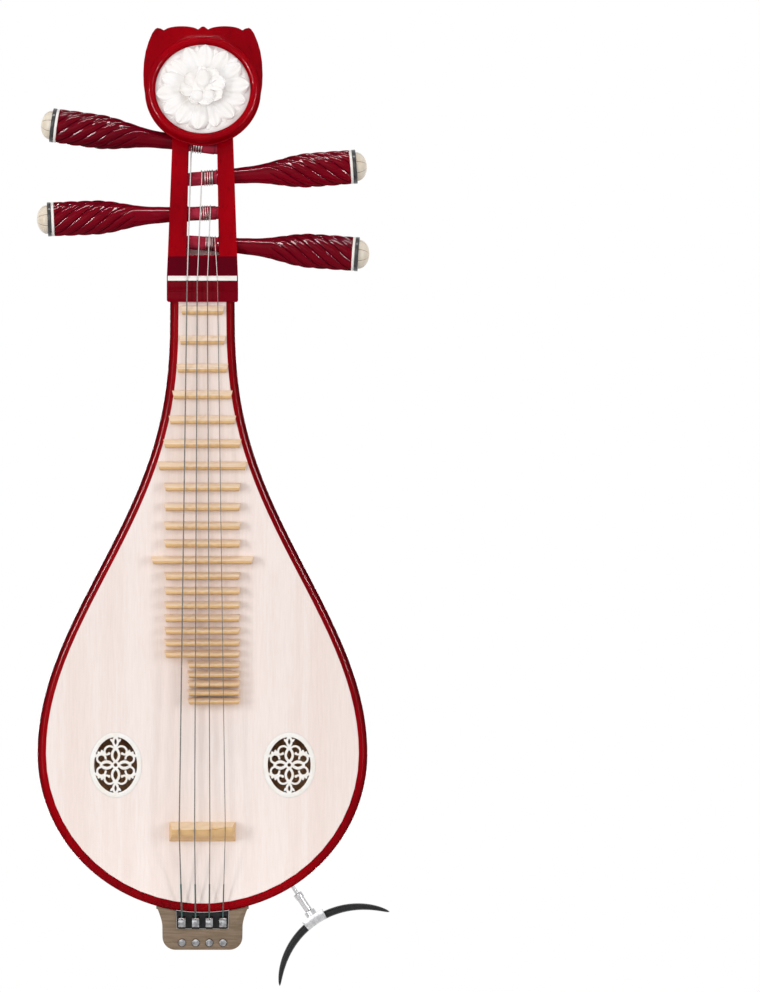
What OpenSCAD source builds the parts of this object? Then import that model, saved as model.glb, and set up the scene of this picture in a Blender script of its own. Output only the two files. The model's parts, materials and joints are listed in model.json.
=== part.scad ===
// Small pear-shaped lute with four strings, as an assembly of its separate pieces.
// Z runs up the length, X to the right seen from the front, and the soundboard faces -Y.
// The origin is the middle of the bottom edge of the tail plate. Sizes are millimetres.

/* [Body] */
// Width of the body at its widest line
body_w = 232; // [210:1:250]
// Drop from the widest line to the bottom of the body
bowl_drop = 111.5; // [104:0.5:120]
// Rise from the widest line to the end of the neck
neck_run = 317.4; // [300:0.1:335]
// Width of the neck at its end
neck_w = 45.6; // [43:0.1:48]
// Depth of the body behind the soundboard face at its deepest
bowl_depth = 54; // [48:0.5:62]
// Depth of the neck at its end
neck_depth = 22; // [20:0.5:24]
// Power that shapes the shoulders between neck and body
shoulder_power = 1.42; // [1.2:0.01:1.6]
// Power of the rounded cross section of the back
back_power = 2.3; // [2:0.1:3]
// Width of the rounded rim that shows round the soundboard
rim_w = 6; // [5:0.1:7]
// Depth from the soundboard face to the widest line of the rim
rim_depth = 5; // [4:0.1:6.5]
// Thickness of the back at the spine
wall = 6; // [5:0.1:8]
// Width of the ledge that carries the soundboard
ledge_w = 4; // [3:0.1:5]
// Height above the widest line where the sound chamber ends
chamber_rise = 195; // [170:1:210]

/* [Soundboard] */
// Thickness of the soundboard
board_t = 4.5; // [3.5:0.1:5]
// Clearance between pieces that are glued side by side
glue_gap = 0.1; // [0.05:0.01:0.2]
// Distance of the middle of each rosette from the side of the body
rosette_edge = 55; // [50:0.5:60]
// Drop of the rosettes below the widest line
rosette_drop = 8; // [0:0.5:14]
// Width of a rosette
rosette_w = 36.8; // [34:0.1:40]
// Height of a rosette
rosette_h = 45.8; // [43:0.1:49]
// Width of the ring of a rosette
rosette_ring = 3.3; // [2.8:0.1:4]
// Thickness of a rosette
rosette_t = 2.2; // [1.6:0.1:2.8]
// Width of the bars in the openwork
lattice_w = 1.4; // [1.1:0.1:1.6]
// Height of the bars under the soundboard
bar_h = 13; // [9:0.5:16]
// Thickness of the bars under the soundboard
bar_t = 7; // [5:0.5:9]
// Radius of the sound post
post_r = 3; // [2.5:0.1:4]
// Height of the tail block
block_h = 16; // [12:0.5:20]
// Width of the tail block
block_w = 52; // [44:1:60]

/* [Strings and frets] */
// Height of the pegbox foot from the neck to the middle of the nut
foot_h = 16.6; // [15:0.1:18]
// Length that the fret spacing is worked out from
scale_l = 395; // [385:1:400]
// Free length of the strings from nut to bridge
string_l = 386; // [380:0.5:390]
// Height of the nut over the soundboard
nut_h = 5.7; // [5:0.1:6.5]
// Height of the bridge over the soundboard
bridge_h = 14; // [12:0.5:16]
// Length of the bridge
bridge_w = 46.6; // [44:0.1:50]
// How far the ends of the bridge lean in from the soundboard to the top
bridge_slant = 2; // [1:0.1:3]
// String spacing at the nut
nut_pitch = 7.1; // [6.4:0.1:7.4]
// String spacing at the bridge
bridge_pitch = 10.8; // [9.5:0.1:11.5]
// Room between the first fret and the strings
action_low = 0.9; // [0.7:0.05:1.2]
// Room between the last fret and the strings
action_high = 2.2; // [1.6:0.1:3]
// Thickness of the first fret along the string
fret_first_t = 6.3; // [5:0.1:7]
// Thickness of the last fret along the string
fret_last_t = 5; // [4:0.1:5.4]
// How far the ends of a fret lean in from its upper to its lower edge
fret_slant = 1.4; // [0.5:0.1:2]
// Diameter of the thickest string
string_d = 0.9; // [0.8:0.05:1]
// Step in diameter from one string to the next
string_step = 0.12; // [0.05:0.01:0.15]

/* [Pegbox] */
// Angle at which the pegbox leans back
lean = 20; // [16:0.5:22]
// Length of the pegbox from the nut to the head
pegbox_l = 129; // [126:0.5:134]
// Width of the pegbox at its foot
pegbox_w = 50; // [49:0.1:52]
// Width of the pegbox under the head
pegbox_top_w = 41.2; // [39:0.1:44]
// Depth of the pegbox from front to back
pegbox_d = 22; // [20:0.5:24]
// Width of the slot at its lower end
slot_w = 23; // [21:0.1:24]
// Width of the slot under the head
slot_top_w = 19.2; // [18:0.1:20.5]
// Height over the nut where the slot starts
slot_s = 17.5; // [17:0.1:18]
// How far the foot stands in front of the soundboard
foot_proud = 3.2; // [2.6:0.1:3.8]
// Radius of the lower corners of the foot
foot_corner = 2.4; // [1.5:0.1:3.5]
// Length of the tenon in the neck
tenon_l = 25; // [18:0.5:28]
// Depth of the tenon
tenon_d = 10; // [8:0.5:11]
// Height of the nut strip along the string
nut_t = 3.5; // [3:0.1:4]
// Width of the bone plate on the back of the foot
plate_back_w = 32.8; // [30:0.1:36]
// Length of the bone plate on the back of the foot
plate_back_l = 40; // [37:0.5:42]
// Thickness of the bone plate on the back of the foot
plate_back_t = 2.2; // [1.6:0.1:3]

/* [Pegs] */
// Height of the lowest peg over the nut
peg_low_s = 29.5; // [28.5:0.1:31]
// Spacing of the pegs along the pegbox
peg_pitch = 24.4; // [23.5:0.1:24.8]
// Depth of the peg axes behind the front of the cheeks
peg_d = 8.5; // [8:0.1:9.5]
// Radius of a peg in the cheek next to its handle
peg_near_r = 5.45; // [5.2:0.05:5.8]
// Radius of a peg in the slot
peg_mid_r = 4.9; // [4.7:0.05:5.1]
// Radius of a peg in the far cheek
peg_far_r = 4.5; // [4:0.05:4.6]
// Running clearance of a peg in its holes
peg_play = 0.05; // [0.02:0.01:0.1]
// Depth of the blind hole in the far cheek
peg_blind = 7; // [5:0.5:8]
// Length of a peg handle outside the cheek
handle_l = 81.5; // [76:0.5:86]
// Largest radius of a peg handle
handle_r = 12.2; // [11.5:0.1:13]
// Radius of the handle at its outer end
handle_end_r = 11.9; // [11:0.1:12.2]
// Thickness of the bone collar
collar_t = 2; // [1.5:0.1:2.6]
// Thickness of the black ring
ring_t = 2.6; // [2.2:0.1:3.4]
// Length of the bone cap
cap_l = 7.4; // [6:0.1:9]
// Radius of the bone cap at its base
cap_r = 10.2; // [9:0.1:11]
// Radius of the tenon that carries collar, ring and cap
tip_r = 5; // [4:0.1:6]
// Turns of string on each peg
turns = 4; // [2:1:5]
// Room between the turns
turn_gap = 0.9; // [0.6:0.05:1]

/* [Head] */
// Height of the middle of the flower over the nut
disc_s = 140.3; // [138:0.1:143]
// Radius of the round barrel behind the frame
frame_r = 40.7; // [39.5:0.1:42]
// Width of the round frame
frame_w = 6; // [5:0.1:7.5]
// How far the round frame is set in from the barrel
frame_step = 1; // [0.5:0.1:2]
// How far the round frame stands in front of the cheeks
frame_h = 9; // [7:0.5:11]
// Thickness of the floor behind the flower
floor_t = 3; // [2:0.1:4]
// Thickness of the base of the flower disc
flower_t = 2.5; // [2:0.1:3.5]
// Height of the middle of the flower over its base
flower_h = 9; // [6:0.5:12]
// Width of the carved block between the tips of its horns
block_head_w = 63; // [60:0.5:66]
// Thickness of the horned edge behind the frame
horn_t = 4; // [3:0.1:6]
// Height of the valley between the barrels over the nut
head_top_s = 186.7; // [184:0.1:189]
// Depth of the back of the head behind the front of the cheeks
head_back_d = 24; // [22:0.5:27]
// Radius of the bend from the top to the back
head_bend_r = 16; // [12:0.5:20]
// Height of the barrels over their valleys
barrel_h = 3.6; // [2.5:0.1:4.5]
// Height of the ridges over the valleys
ridge_h = 3.4; // [2:0.1:4]
// Width of the ridges
ridge_w = 6; // [4:0.1:8]
// Width of the block at its lower end as a share of its width at the top
block_taper = 0.88; // [0.8:0.01:1]

/* [Tail] */
// Height of the tail plate under the body
tail_drop = 26.5; // [24:0.5:30]
// Width of the tail plate at its foot
tail_w = 56.2; // [54:0.1:60]
// Width of the tail plate where it meets the body
tail_top_w = 65; // [62:0.5:70]
// Thickness of the tail plate
tail_t = 2; // [1.6:0.1:2.4]
// Depth of the tail plate behind the soundboard face
tail_set = 6; // [5.5:0.1:7]
// Radius of the lower corners of the tail plate
tail_corner = 9; // [7:0.5:11]
// Width of the window
window_w = 37.2; // [35:0.1:40]
// Height of the bar under the window
tail_bar_h = 14.8; // [13.5:0.1:16]
// Depth of the flanges under the body
flange_d = 10; // [8:0.5:12]
// Spacing of the hooks
hook_pitch = 9.6; // [9:0.1:9.8]
// Width of a hook
hook_w = 5; // [4:0.1:5.2]
// Thickness of a hook
hook_t = 1.2; // [1:0.1:1.5]
// Height of the rivets over the bottom edge
rivet_z = 5; // [4:0.1:6]
// Radius of the rivet heads
rivet_head_r = 3; // [2.4:0.1:3.6]
// Radius of the rivet shanks
rivet_r = 1.5; // [1.2:0.1:1.8]
// Radius of the screws in the flanges
screw_r = 1.5; // [1.2:0.1:1.8]
// Length of the screws in the body
screw_l = 8; // [6:0.5:9]

/* [Leg rest] */
// Angle of the leg rest from straight down
leg_angle = 34; // [30:0.5:40]
// Depth of the leg rest behind the soundboard face
leg_depth = 24; // [20:0.5:26]
// How far the socket stands out of the body
socket_proud = 5.4; // [4.5:0.1:7]
// Length of the socket
socket_l = 9; // [8:0.1:11]
// Radius of the socket
socket_r = 4.8; // [4.2:0.1:5.5]
// Radius of the rod
rod_r = 1.3; // [1.1:0.05:1.6]
// Running clearance of the sleeve on the rod and of the saddle on the sleeve
leg_play = 0.05; // [0.02:0.01:0.1]
// Bare length of rod between socket and sleeve
rod_bare = 6.5; // [6:0.1:9]
// Length of the sleeve
sleeve_l = 14.5; // [13.5:0.5:20]
// Radius of the sleeve
sleeve_r = 2.6; // [2.3:0.05:3]
// Length of the spigot on which the saddle turns
spigot_l = 4; // [3.5:0.1:6]
// Radius of the spigot on which the saddle turns
spigot_r = 1.9; // [1.7:0.05:2.2]
// Radius of the curve of the pad
pad_curve = 57; // [52:0.5:64]
// Half of the angle that the pad spans
pad_half_angle = 55; // [45:1:60]
// Thickness of the pad
pad_t = 5.6; // [5:0.1:7]
// Width of the pad
pad_w = 15; // [12:0.5:20]
// Thickness of the saddle
saddle_t = 1.6; // [1.2:0.1:2.2]
// Half of the angle that the saddle spans on the pad
saddle_half_angle = 8; // [6:0.5:10]

/* [Hidden] */
$fn = 64;
n_frets = 24;
n_strings = 4;
// Lengths of the frets, from the nut: seven that widen, four alike, one wide, seven alike, five short
fret_l = [31, 33, 36.5, 42.5, 47.5, 55, 63, 54, 54, 54, 54, 72,
          53.5, 53.5, 53.5, 53.5, 53.5, 53.5, 53.5, 37.3, 37.3, 37.3, 37.3, 37.3];
// The short frets end where the long ones do on the right, under three of the strings
first_short = 20;
// The frets from here up are one node
first_upper = 18;
peg_side = [1, -1, 1, -1];
peg_tilt = [-4.3, -2.4, 4.7, 8.4];
// How far each peg stands off its even place along the pegbox
peg_shift = [0, -1.9, 0, 0];
// Where each string meets its peg, and the way its turns run along the peg
wrap_x = [8.5, 5.5, -0.5, -8];
wrap_way = [-1, -1, 1, 1];

// Places worked out from the sizes above
bottom_z = tail_drop;
widest_z = bottom_z + bowl_drop;
neck_end_z = widest_z + neck_run;
nut_z = neck_end_z + foot_h;
nut_edge_z = nut_z - nut_t / 2;
bridge_z = nut_edge_z - string_l;
front_y = -(tail_set + tail_t / 2);
chamber_top_z = widest_z + chamber_rise;
chamber_fade = 45;
rosette_x = body_w / 2 - rosette_edge;
rosette_z = widest_z - rosette_drop;
head_set = 2;
ramp_s = 16.5;
touch_gap = 0.05;
wrap_gap = 0.3;

// Outline of the body
function rise(z) = (z - widest_z) / neck_run;
function half_w(z) =
    neck_w / 2 + (body_w - neck_w) / 2 * pow((1 + cos(180 * rise(z))) / 2, shoulder_power);
function flare(z) = half_w(z + 0.5) - half_w(z - 0.5);
function depth_at(z) = neck_depth + (bowl_depth - neck_depth) * (1 + cos(180 * rise(z))) / 2;
function ease(t) = sin(90 * min(1, max(0, t)));
function chamber_at(z) = z > neck_end_z - tenon_l ? tenon_d
    : max(0, depth_at(z) - wall - board_t) * ease((chamber_top_z - z) / chamber_fade);

// A station is one half cross section: its foot on the middle line, its direction, reach, rim width,
// depth of the back and depth of the hollow
n_slices = 30;
n_fan = 27;
mortise_step = 0.2;
slice_z = concat(
    [neck_end_z, neck_end_z - tenon_l + mortise_step, neck_end_z - tenon_l - mortise_step],
    [for (k = [3 : n_slices]) neck_end_z - neck_run * k / n_slices]);
last_slice = len(slice_z) - 1;
function slice_station(z, side) = [z, side, 0, half_w(z), rim_w * sqrt(1 + pow(flare(z), 2)),
                                   depth_at(z), chamber_at(z)];
function fan_station(t) = let (x = body_w / 2 * sin(t), z = -bowl_drop * cos(t), reach = norm([x, z]))
    [widest_z, x / reach, z / reach, reach, rim_w, bowl_depth, bowl_depth - wall - board_t];
stations = concat(
    [for (k = [0 : last_slice]) slice_station(slice_z[k], -1)],
    [for (k = [1 : n_fan - 1]) fan_station(-90 + 180 * k / n_fan)],
    [for (k = [last_slice : -1 : 0]) slice_station(slice_z[k], 1)]);
n_stations = len(stations);
function station_point(s, r, depth) = [s[1] * r, depth, s[0] + s[2] * r];

// One half cross section as [distance from the middle line, depth], from the spine of the back
// round the rim and the soundboard's seat to the middle of the hollow
n_back = 12;
n_rim = 4;
n_hollow = 9;
function back_curve(q, reach, depth) = [reach * pow(cos(q), 2 / back_power),
                                        rim_depth + (depth - rim_depth) * pow(sin(q), 2 / back_power)];
function hollow_curve(q, reach, depth) = [reach * pow(cos(q), 2 / back_power),
                                          board_t + depth * pow(sin(q), 2 / back_power)];
function half_section(s) = let (reach = s[3], rim = s[4], hollow = reach - rim - ledge_w) concat(
    [for (i = [0 : n_back]) back_curve(90 - 90 * i / n_back, reach, s[5])],
    [for (i = [1 : n_rim]) let (q = 90 * i / n_rim)
     [reach - rim + rim * cos(q), rim_depth * (1 - sin(q))]],
    [[reach - rim, board_t]],
    [for (i = [0 : n_hollow]) hollow_curve(90 * i / n_hollow, hollow, s[6])]);
n_section = n_back + n_rim + n_hollow + 2;

// Distance from the middle of the bowl to its outside at a depth
function bowl_reach(reach, depth) =
    reach * pow(1 - pow((depth - rim_depth) / (bowl_depth - rim_depth), back_power), 1 / back_power);
function ellipse(a, b, n) = [for (i = [0 : n - 1]) [a * cos(360 * i / n), b * sin(360 * i / n)]];
function arc(cx, cy, r, a0, a1, n) = [for (i = [0 : n]) let (a = a0 + (a1 - a0) * i / n)
                                      [cx + r * cos(a), cy + r * sin(a)]];
function bottom_edge(x) = widest_z - bowl_drop * sqrt(1 - pow(2 * x / body_w, 2));

// Strings: height over the soundboard, places and thickness
function string_h(z) = nut_h + (bridge_h - nut_h) * (nut_edge_z - z) / string_l;
function fret_z(n) = nut_edge_z - scale_l * (1 - pow(2, -n / 12));
function thick(k) = string_d - string_step * k;
function spread(k, pitch) = (k - (n_strings - 1) / 2) * pitch;

// Frame of the pegbox, leaning back from the nut: x, depth behind the cheeks, height over the nut
function head_point(p) = [p[0], front_y + head_set + p[1] * cos(lean) + p[2] * sin(lean),
                          nut_z - p[1] * sin(lean) + p[2] * cos(lean)];
function head_way(v) = [v[0], v[1] * cos(lean) + v[2] * sin(lean), -v[1] * sin(lean) + v[2] * cos(lean)];
function outer_half(s) = pegbox_w / 2 + (pegbox_top_w - pegbox_w) / 2 * s / pegbox_l;
function slot_half(s) = slot_w / 2 + (slot_top_w - slot_w) / 2 * (s - slot_s) / (pegbox_l - slot_s);
function peg_s(i) = peg_low_s + i * peg_pitch + peg_shift[i];
function peg_centre(i) = [0, peg_d, peg_s(i)];
function peg_axis(i) = [peg_side[i] * cos(peg_tilt[i]), 0, sin(peg_tilt[i])];
function peg_up(i) = [-peg_side[i] * sin(peg_tilt[i]), 0, cos(peg_tilt[i])];
peg_front = [0, -1, 0];
// A point round a peg: distance along its axis, radius, angle from the front over the top
function round_peg(i, u, r, q) =
    peg_centre(i) + peg_axis(i) * u + (peg_front * cos(q) + peg_up(i) * sin(q)) * r;
function wrap_u(i) = wrap_x[i] / (peg_side[i] * cos(peg_tilt[i]));
function string_of(i) = n_strings - 1 - i;

// Sweeps a tube of n sides along a path, with rings kept square to it by a reference direction
function unit(v) = v / norm(v);
function heading(path, k) = unit(path[min(k + 1, len(path) - 1)] - path[max(k - 1, 0)]);
function ring_points(path, k, r, n, ref) =
    let (t = heading(path, k), a = unit(ref - (ref * t) * t), b = cross(t, a))
    [for (j = [0 : n - 1]) path[k] + r * (a * cos(360 * j / n) + b * sin(360 * j / n))];

module tube(path, r, n, ref) {
    last = len(path) - 1;
    points = [for (k = [0 : last]) each ring_points(path, k, r, n, ref)];
    sides = [for (k = [0 : last - 1], j = [0 : n - 1])
             let (a = k * n + j, b = k * n + (j + 1) % n)
             each [[a, a + n, b], [b, a + n, b + n]]];
    ends = [for (j = [1 : n - 2]) each [[0, j, j + 1], [last * n, last * n + j + 1, last * n + j]]];
    polyhedron(points, concat(sides, ends));
}

// The turns on a peg: a straight start, the turns, a bend and a straight end into the peg
turn_steps = 24;
n_bend = 4;
function turn_d(i) = thick(string_of(i));
function turn_r(i) = peg_mid_r + touch_gap + turn_d(i) / 2;
function turn_way(i) = wrap_way[i] * peg_side[i];
function turn_start(i) = wrap_u(i) + turn_way(i) * (turn_d(i) + 0.5);
function turn_pitch(i) = turn_d(i) + turn_gap;
function turn_end(i) = turn_start(i) + turn_way(i) * turn_pitch(i) * turns;
function bend_r(i) = 1.3 * turn_d(i);
hole_reach = 2;
function turn_loops(i) = [for (k = [0 : turns * turn_steps]) let (q = k / turn_steps)
    round_peg(i, turn_start(i) + turn_way(i) * turn_pitch(i) * q, turn_r(i), 180 + 360 * q)];
function turn_path(i) = concat(
    [round_peg(i, turn_start(i), turn_r(i), 180) + peg_up(i) * turn_d(i)],
    turn_loops(i),
    [for (k = [1 : n_bend]) let (q = 90 * k / n_bend)
     round_peg(i, turn_end(i), turn_r(i) - bend_r(i) * (1 - cos(q)), 180) - peg_up(i) * bend_r(i) * sin(q)],
    [round_peg(i, turn_end(i), hole_reach, 180) - peg_up(i) * bend_r(i)]);
function least_gap(path, skip, d) = min([for (a = [0 : len(path) - 1], b = [a + skip : len(path) - 1])
                                         if (b < len(path)) norm(path[a] - path[b])]) - d;
turn_gaps = [for (i = [0 : n_strings - 1]) least_gap(turn_loops(i), turn_steps / 2, turn_d(i))];
echo(least_gap_of_turns = turn_gaps);

// The run of a string: hook, bridge, nut, then up to its peg and over it
function string_r(i) = peg_mid_r + wrap_gap + turn_d(i) / 2;
function over(k, y) = y - touch_gap - thick(k) / 2;
function nut_point(k) = [spread(k, nut_pitch), over(k, front_y - nut_h), nut_edge_z + 0.4];
function bridge_point(k) = [spread(k, bridge_pitch), over(k, front_y - bridge_h), bridge_z];
hook_tip_z = tail_bar_h + 8;
hook_front_y = front_y + 1;
function hook_point(k) = [spread(k, hook_pitch), over(k, hook_front_y - hook_t), hook_tip_z];
// Angle round the peg at which the string from the nut first touches it
function touch_angle(i) = let (k = string_of(i), p = nut_point(k) - head_point(peg_centre(i)),
                               up = p * head_way([0, 0, 1]), fore = p * head_way(peg_front))
    atan2(up, fore) + acos(string_r(i) / norm([up, fore]));
wrap_steps = 9;
wrap_end = 165;
function string_path(k) = let (i = n_strings - 1 - k, q0 = touch_angle(i)) concat(
    [hook_point(k), bridge_point(k), nut_point(k)],
    [for (j = [0 : wrap_steps]) let (q = q0 + (wrap_end - q0) * j / wrap_steps)
     head_point(round_peg(i, wrap_u(i), string_r(i), q))]);

module at_board() { translate([0, front_y, 0]) children(); }
module at_head() { translate([0, front_y + head_set, nut_z]) rotate([-lean, 0, 0]) children(); }
module at_peg(i) {
    at_head() translate(peg_centre(i)) rotate([0, peg_side[i] * (90 - peg_tilt[i]), 0]) children();
}
// Along the axis of the leg rest, measured from the middle of the bowl
module at_leg() {
    translate([0, front_y + leg_depth, widest_z]) rotate([0, 180 - leg_angle, 0]) children();
}
// Extrudes a shape drawn in depth and height along X, centred
module along_x(length) {
    translate([-length / 2, 0, 0]) rotate([90, 0, 90]) linear_extrude(length) children();
}
// Extrudes a shape drawn in X and height backwards from a depth
module backwards(depth, thickness) {
    translate([0, depth + thickness, 0]) rotate([90, 0, 0]) linear_extrude(thickness) children();
}

module back_shell() {
    inner = n_section - 1;
    spine = n_stations * inner;
    points = concat(
        [for (s = stations) let (h = half_section(s))
         each [for (j = [1 : inner]) station_point(s, h[j][0], h[j][1])]],
        [for (k = [0 : last_slice]) [0, stations[k][5], slice_z[k]]],
        [for (k = [0 : last_slice]) [0, board_t + stations[k][6], slice_z[k]]]);
    function spine_of(i) = min(i, n_stations - 1 - i, last_slice);
    function at(i, j) = j == 0 ? spine + spine_of(i)
        : j == n_section ? spine + last_slice + 1 + spine_of(i)
        : i * inner + j - 1;
    skin = [for (i = [0 : n_stations - 2], j = [0 : n_section - 1])
            let (a = at(i, j), b = at(i, j + 1), c = at(i + 1, j + 1), d = at(i + 1, j))
            each concat(a == d ? [] : [[a, c, d]], b == c ? [] : [[a, b, c]])];
    end = concat([for (j = [1 : inner]) at(n_stations - 1, j)],
                 [for (j = [n_section : -1 : 0]) at(0, j)]);
    color("darkred") difference() {
        at_board() polyhedron(points, concat(skin, [end]));
        at_leg() translate([0, 0, socket_end - socket_l - glue_gap])
            cylinder(r = socket_r + glue_gap, h = 3 * socket_l);
        at_board() for (side = [-1, 1]) at_screw(side)
            translate([0, 0, -screw_l]) cylinder(r = screw_r + glue_gap, h = 2 * screw_l + glue_gap);
    }
}

// Outline of the soundboard's seat, drawn in by a gap
function board_outline(gap) = [for (s = stations) let (r = s[3] - s[4] - gap)
                               [s[1] * r, s[0] + s[2] * r]];

module at_rosettes() {
    for (side = [-1, 1])
        translate([side * rosette_x, rosette_z]) children();
}

module soundboard() {
    color("bisque") at_board() difference() {
        backwards(0, board_t) polygon(board_outline(glue_gap));
        backwards(-1, rosette_t + 1) at_rosettes()
            polygon(ellipse(rosette_w / 2 + glue_gap, rosette_h / 2 + glue_gap, 72));
        backwards(-1, board_t + 2) at_rosettes()
            polygon(ellipse(rosette_w / 2 - rosette_ring, rosette_h / 2 - rosette_ring, 72));
    }
}

bar_rise = [-38, 30, 95];
bar_cut = 16;
module bars() {
    color("burlywood") at_board() for (rise = bar_rise) {
        z = widest_z + rise;
        fit = rise < 0 ? body_w / 2 * sqrt(1 - pow((rise - bar_t) / bowl_drop, 2)) : half_w(z + bar_t);
        half = fit - rim_w * 1.2 - ledge_w - 2;
        translate([0, 0, z - bar_t / 2]) linear_extrude(bar_t)
            polygon([[-half, board_t], [half, board_t], [half, board_t + 2],
                     [half - bar_cut, board_t + bar_h], [bar_cut - half, board_t + bar_h],
                     [-half, board_t + 2]]);
    }
}

module sound_post() {
    z = widest_z + bar_rise[1];
    depth = board_t + bar_h;
    color("burlywood") at_board() translate([0, depth, z]) rotate([-90, 0, 0])
        cylinder(r = post_r, h = depth_at(z) - wall - depth - wrap_gap);
}

block_depth = 9;
module tail_block() {
    // The lower edge follows the wall of the hollow where it is deepest
    side = (body_w / 2 - rim_w - ledge_w) * 0.985;
    drop = (bowl_drop - rim_w - ledge_w) * 0.985;
    edge = asin(block_w / 2 / side);
    lower = [for (k = [0 : 10]) let (t = -edge + 2 * edge * k / 10)
             [side * sin(t), widest_z - drop * cos(t) + glue_gap]];
    top = widest_z - drop + block_h;
    color("burlywood") at_board() backwards(board_t, block_depth)
        polygon(concat(lower, [[block_w / 2, top], [-block_w / 2, top]]));
}

// A pointed oval between two arcs
module petal(length, width) {
    r = (length * length + width * width) / (4 * width);
    intersection() {
        translate([r - width / 2, 0]) circle(r);
        translate([width / 2 - r, 0]) circle(r);
    }
}

// A petal with a petal-shaped hole
module petal_ring(length, width, hole_l, hole_w) {
    difference() {
        petal(length, width);
        petal(hole_l, hole_w);
    }
}

// A bar of the openwork bent round a centre
module bow(centre, r, from, to) {
    polygon(concat(arc(centre[0], centre[1], r + lattice_w / 2, from, to, 16),
                   arc(centre[0], centre[1], r - lattice_w / 2, to, from, 16)));
}

// One quarter of the openwork: the arch beside the bud, a hook, a leaf out to the ring and a loop
module rosette_quarter(hole_a, hole_b) {
    hook = [0.43 * hole_a, 0.53 * hole_b];
    hook_r = 0.2 * hole_a;
    hook_end = -128;
    bow([0.27 * hole_a, 0.485 * hole_b], 0.19 * hole_b, -40, 150);
    bow(hook, hook_r, hook_end, -50);
    translate(hook + hook_r * [cos(hook_end), sin(hook_end)]) circle(0.7 * lattice_w, $fn = 24);
    translate([0.74 * hole_a, 0.385 * hole_b]) rotate(-26)
        polygon(ellipse(0.29 * hole_a, 0.8 * lattice_w, 24));
    translate([0.63 * hole_a, 0.465 * hole_b]) rotate(-10) petal(2.4 * lattice_w, 1.4 * lattice_w);
    translate([0.77 * hole_a, 0.415 * hole_b]) rotate(-25) petal(2.4 * lattice_w, 1.4 * lattice_w);
    bow([0.66 * hole_a, 0.225 * hole_b], 0.2 * hole_a, -90, 190);
    translate([0.17 * hole_a, 0.87 * hole_b]) rotate(-40) petal(2.6 * lattice_w, 1.2 * lattice_w);
}

module rosette() {
    a = rosette_w / 2;
    b = rosette_h / 2;
    hole_a = a - rosette_ring;
    hole_b = b - rosette_ring;
    eye_r = 0.085 * hole_a;
    tall = 0.58 * hole_b;
    wide = 0.66 * hole_a;
    bud = 0.44 * hole_b;
    color("white") at_board() backwards(0, rosette_t) translate([0, rosette_z]) {
        difference() {
            polygon(ellipse(a, b, 72));
            polygon(ellipse(hole_a, hole_b, 72));
        }
        intersection() {
            polygon(ellipse(a - rosette_ring / 2, b - rosette_ring / 2, 72));
            union() {
                difference() {
                    circle(eye_r + lattice_w, $fn = 32);
                    circle(eye_r, $fn = 32);
                }
                for (turn = [0, 180]) rotate(turn) {
                    translate([0, eye_r + tall / 2])
                        petal_ring(tall, 0.58 * tall, 0.6 * tall, 0.28 * tall);
                    translate([0, eye_r + tall]) circle(0.8 * lattice_w, $fn = 24);
                    translate([0, hole_b + rosette_ring / 3 - bud / 2])
                        petal_ring(bud, 0.56 * bud, 0.5 * bud, 0.2 * bud);
                    rotate(90) translate([0, eye_r + wide / 2])
                        petal_ring(wide, 0.66 * wide, 0.62 * wide, 0.24 * wide);
                }
                for (sx = [0, 1], sz = [0, 1])
                    mirror([sx, 0]) mirror([0, sz]) rosette_quarter(hole_a, hole_b);
            }
        }
    }
}

module rosette_left() { translate([-rosette_x, 0, 0]) rosette(); }
module rosette_right() { translate([rosette_x, 0, 0]) rosette(); }

module fret(n) {
    t = fret_first_t + (fret_last_t - fret_first_t) * (n - 1) / (n_frets - 1);
    h = string_h(fret_z(n)) - action_low - (action_high - action_low) * (n - 1) / (n_frets - 1);
    long = fret_l[n - 1];
    shift = n < first_short ? 0 : (fret_l[first_short - 2] - long) / 2;
    ridge = 0.32 * t;
    low = -0.1 * t;
    high = 0.9 * t;
    color("burlywood") at_board() translate([shift, 0, fret_z(n) - 0.6 * ridge]) intersection() {
        along_x(long) polygon([
            [0, low], [-h + 0.4, 0], [-h, 0.4], [-h, ridge], [-h * 0.45, high], [0, high]]);
        backwards(-h - 1, h + 2) polygon([
            [fret_slant - long / 2, low], [long / 2 - fret_slant, low], [long / 2, high], [-long / 2, high]]);
    }
}

module frets_upper() { for (n = [first_upper : n_frets]) fret(n); }

bridge_step_x = 7.5;
bridge_step = 2;
module bridge() {
    half = bridge_w / 2;
    step = half - bridge_step_x;
    color("burlywood") at_board() translate([0, 0, bridge_z]) intersection() {
        union() {
            translate([-step / 2, 0, 0]) along_x(bridge_w - step) bridge_side(0);
            translate([half - step / 2, 0, 0]) along_x(step) bridge_side(bridge_step);
        }
        translate([0, 0, -bridge_w / 2]) linear_extrude(bridge_w) polygon([
            [-half, 0], [half, 0], [half - bridge_slant, -bridge_h], [bridge_slant - half, -bridge_h]]);
    }
}

module bridge_side(shift) {
    polygon([[0, -8], [-bridge_h * 0.82, -4 + shift / 2], [-bridge_h, -0.8 + shift / 2],
             [-bridge_h, 0.6 + shift], [-3.5, 5.8], [0, 5.8]]);
}

// Outline of the pegbox from the side, as depth and height
function side_point(d, s) = [head_set + d * cos(lean) + s * sin(lean), nut_z - d * sin(lean) + s * cos(lean)];
foot_back_s = (pegbox_d * sin(lean) - foot_h) / cos(lean);
groove_z = neck_end_z + 0.48 * foot_h;
// Middle of a lower corner of the foot, from the sides, so that its curve meets them at an edge
corner_in = 0.9 * foot_corner;

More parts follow.
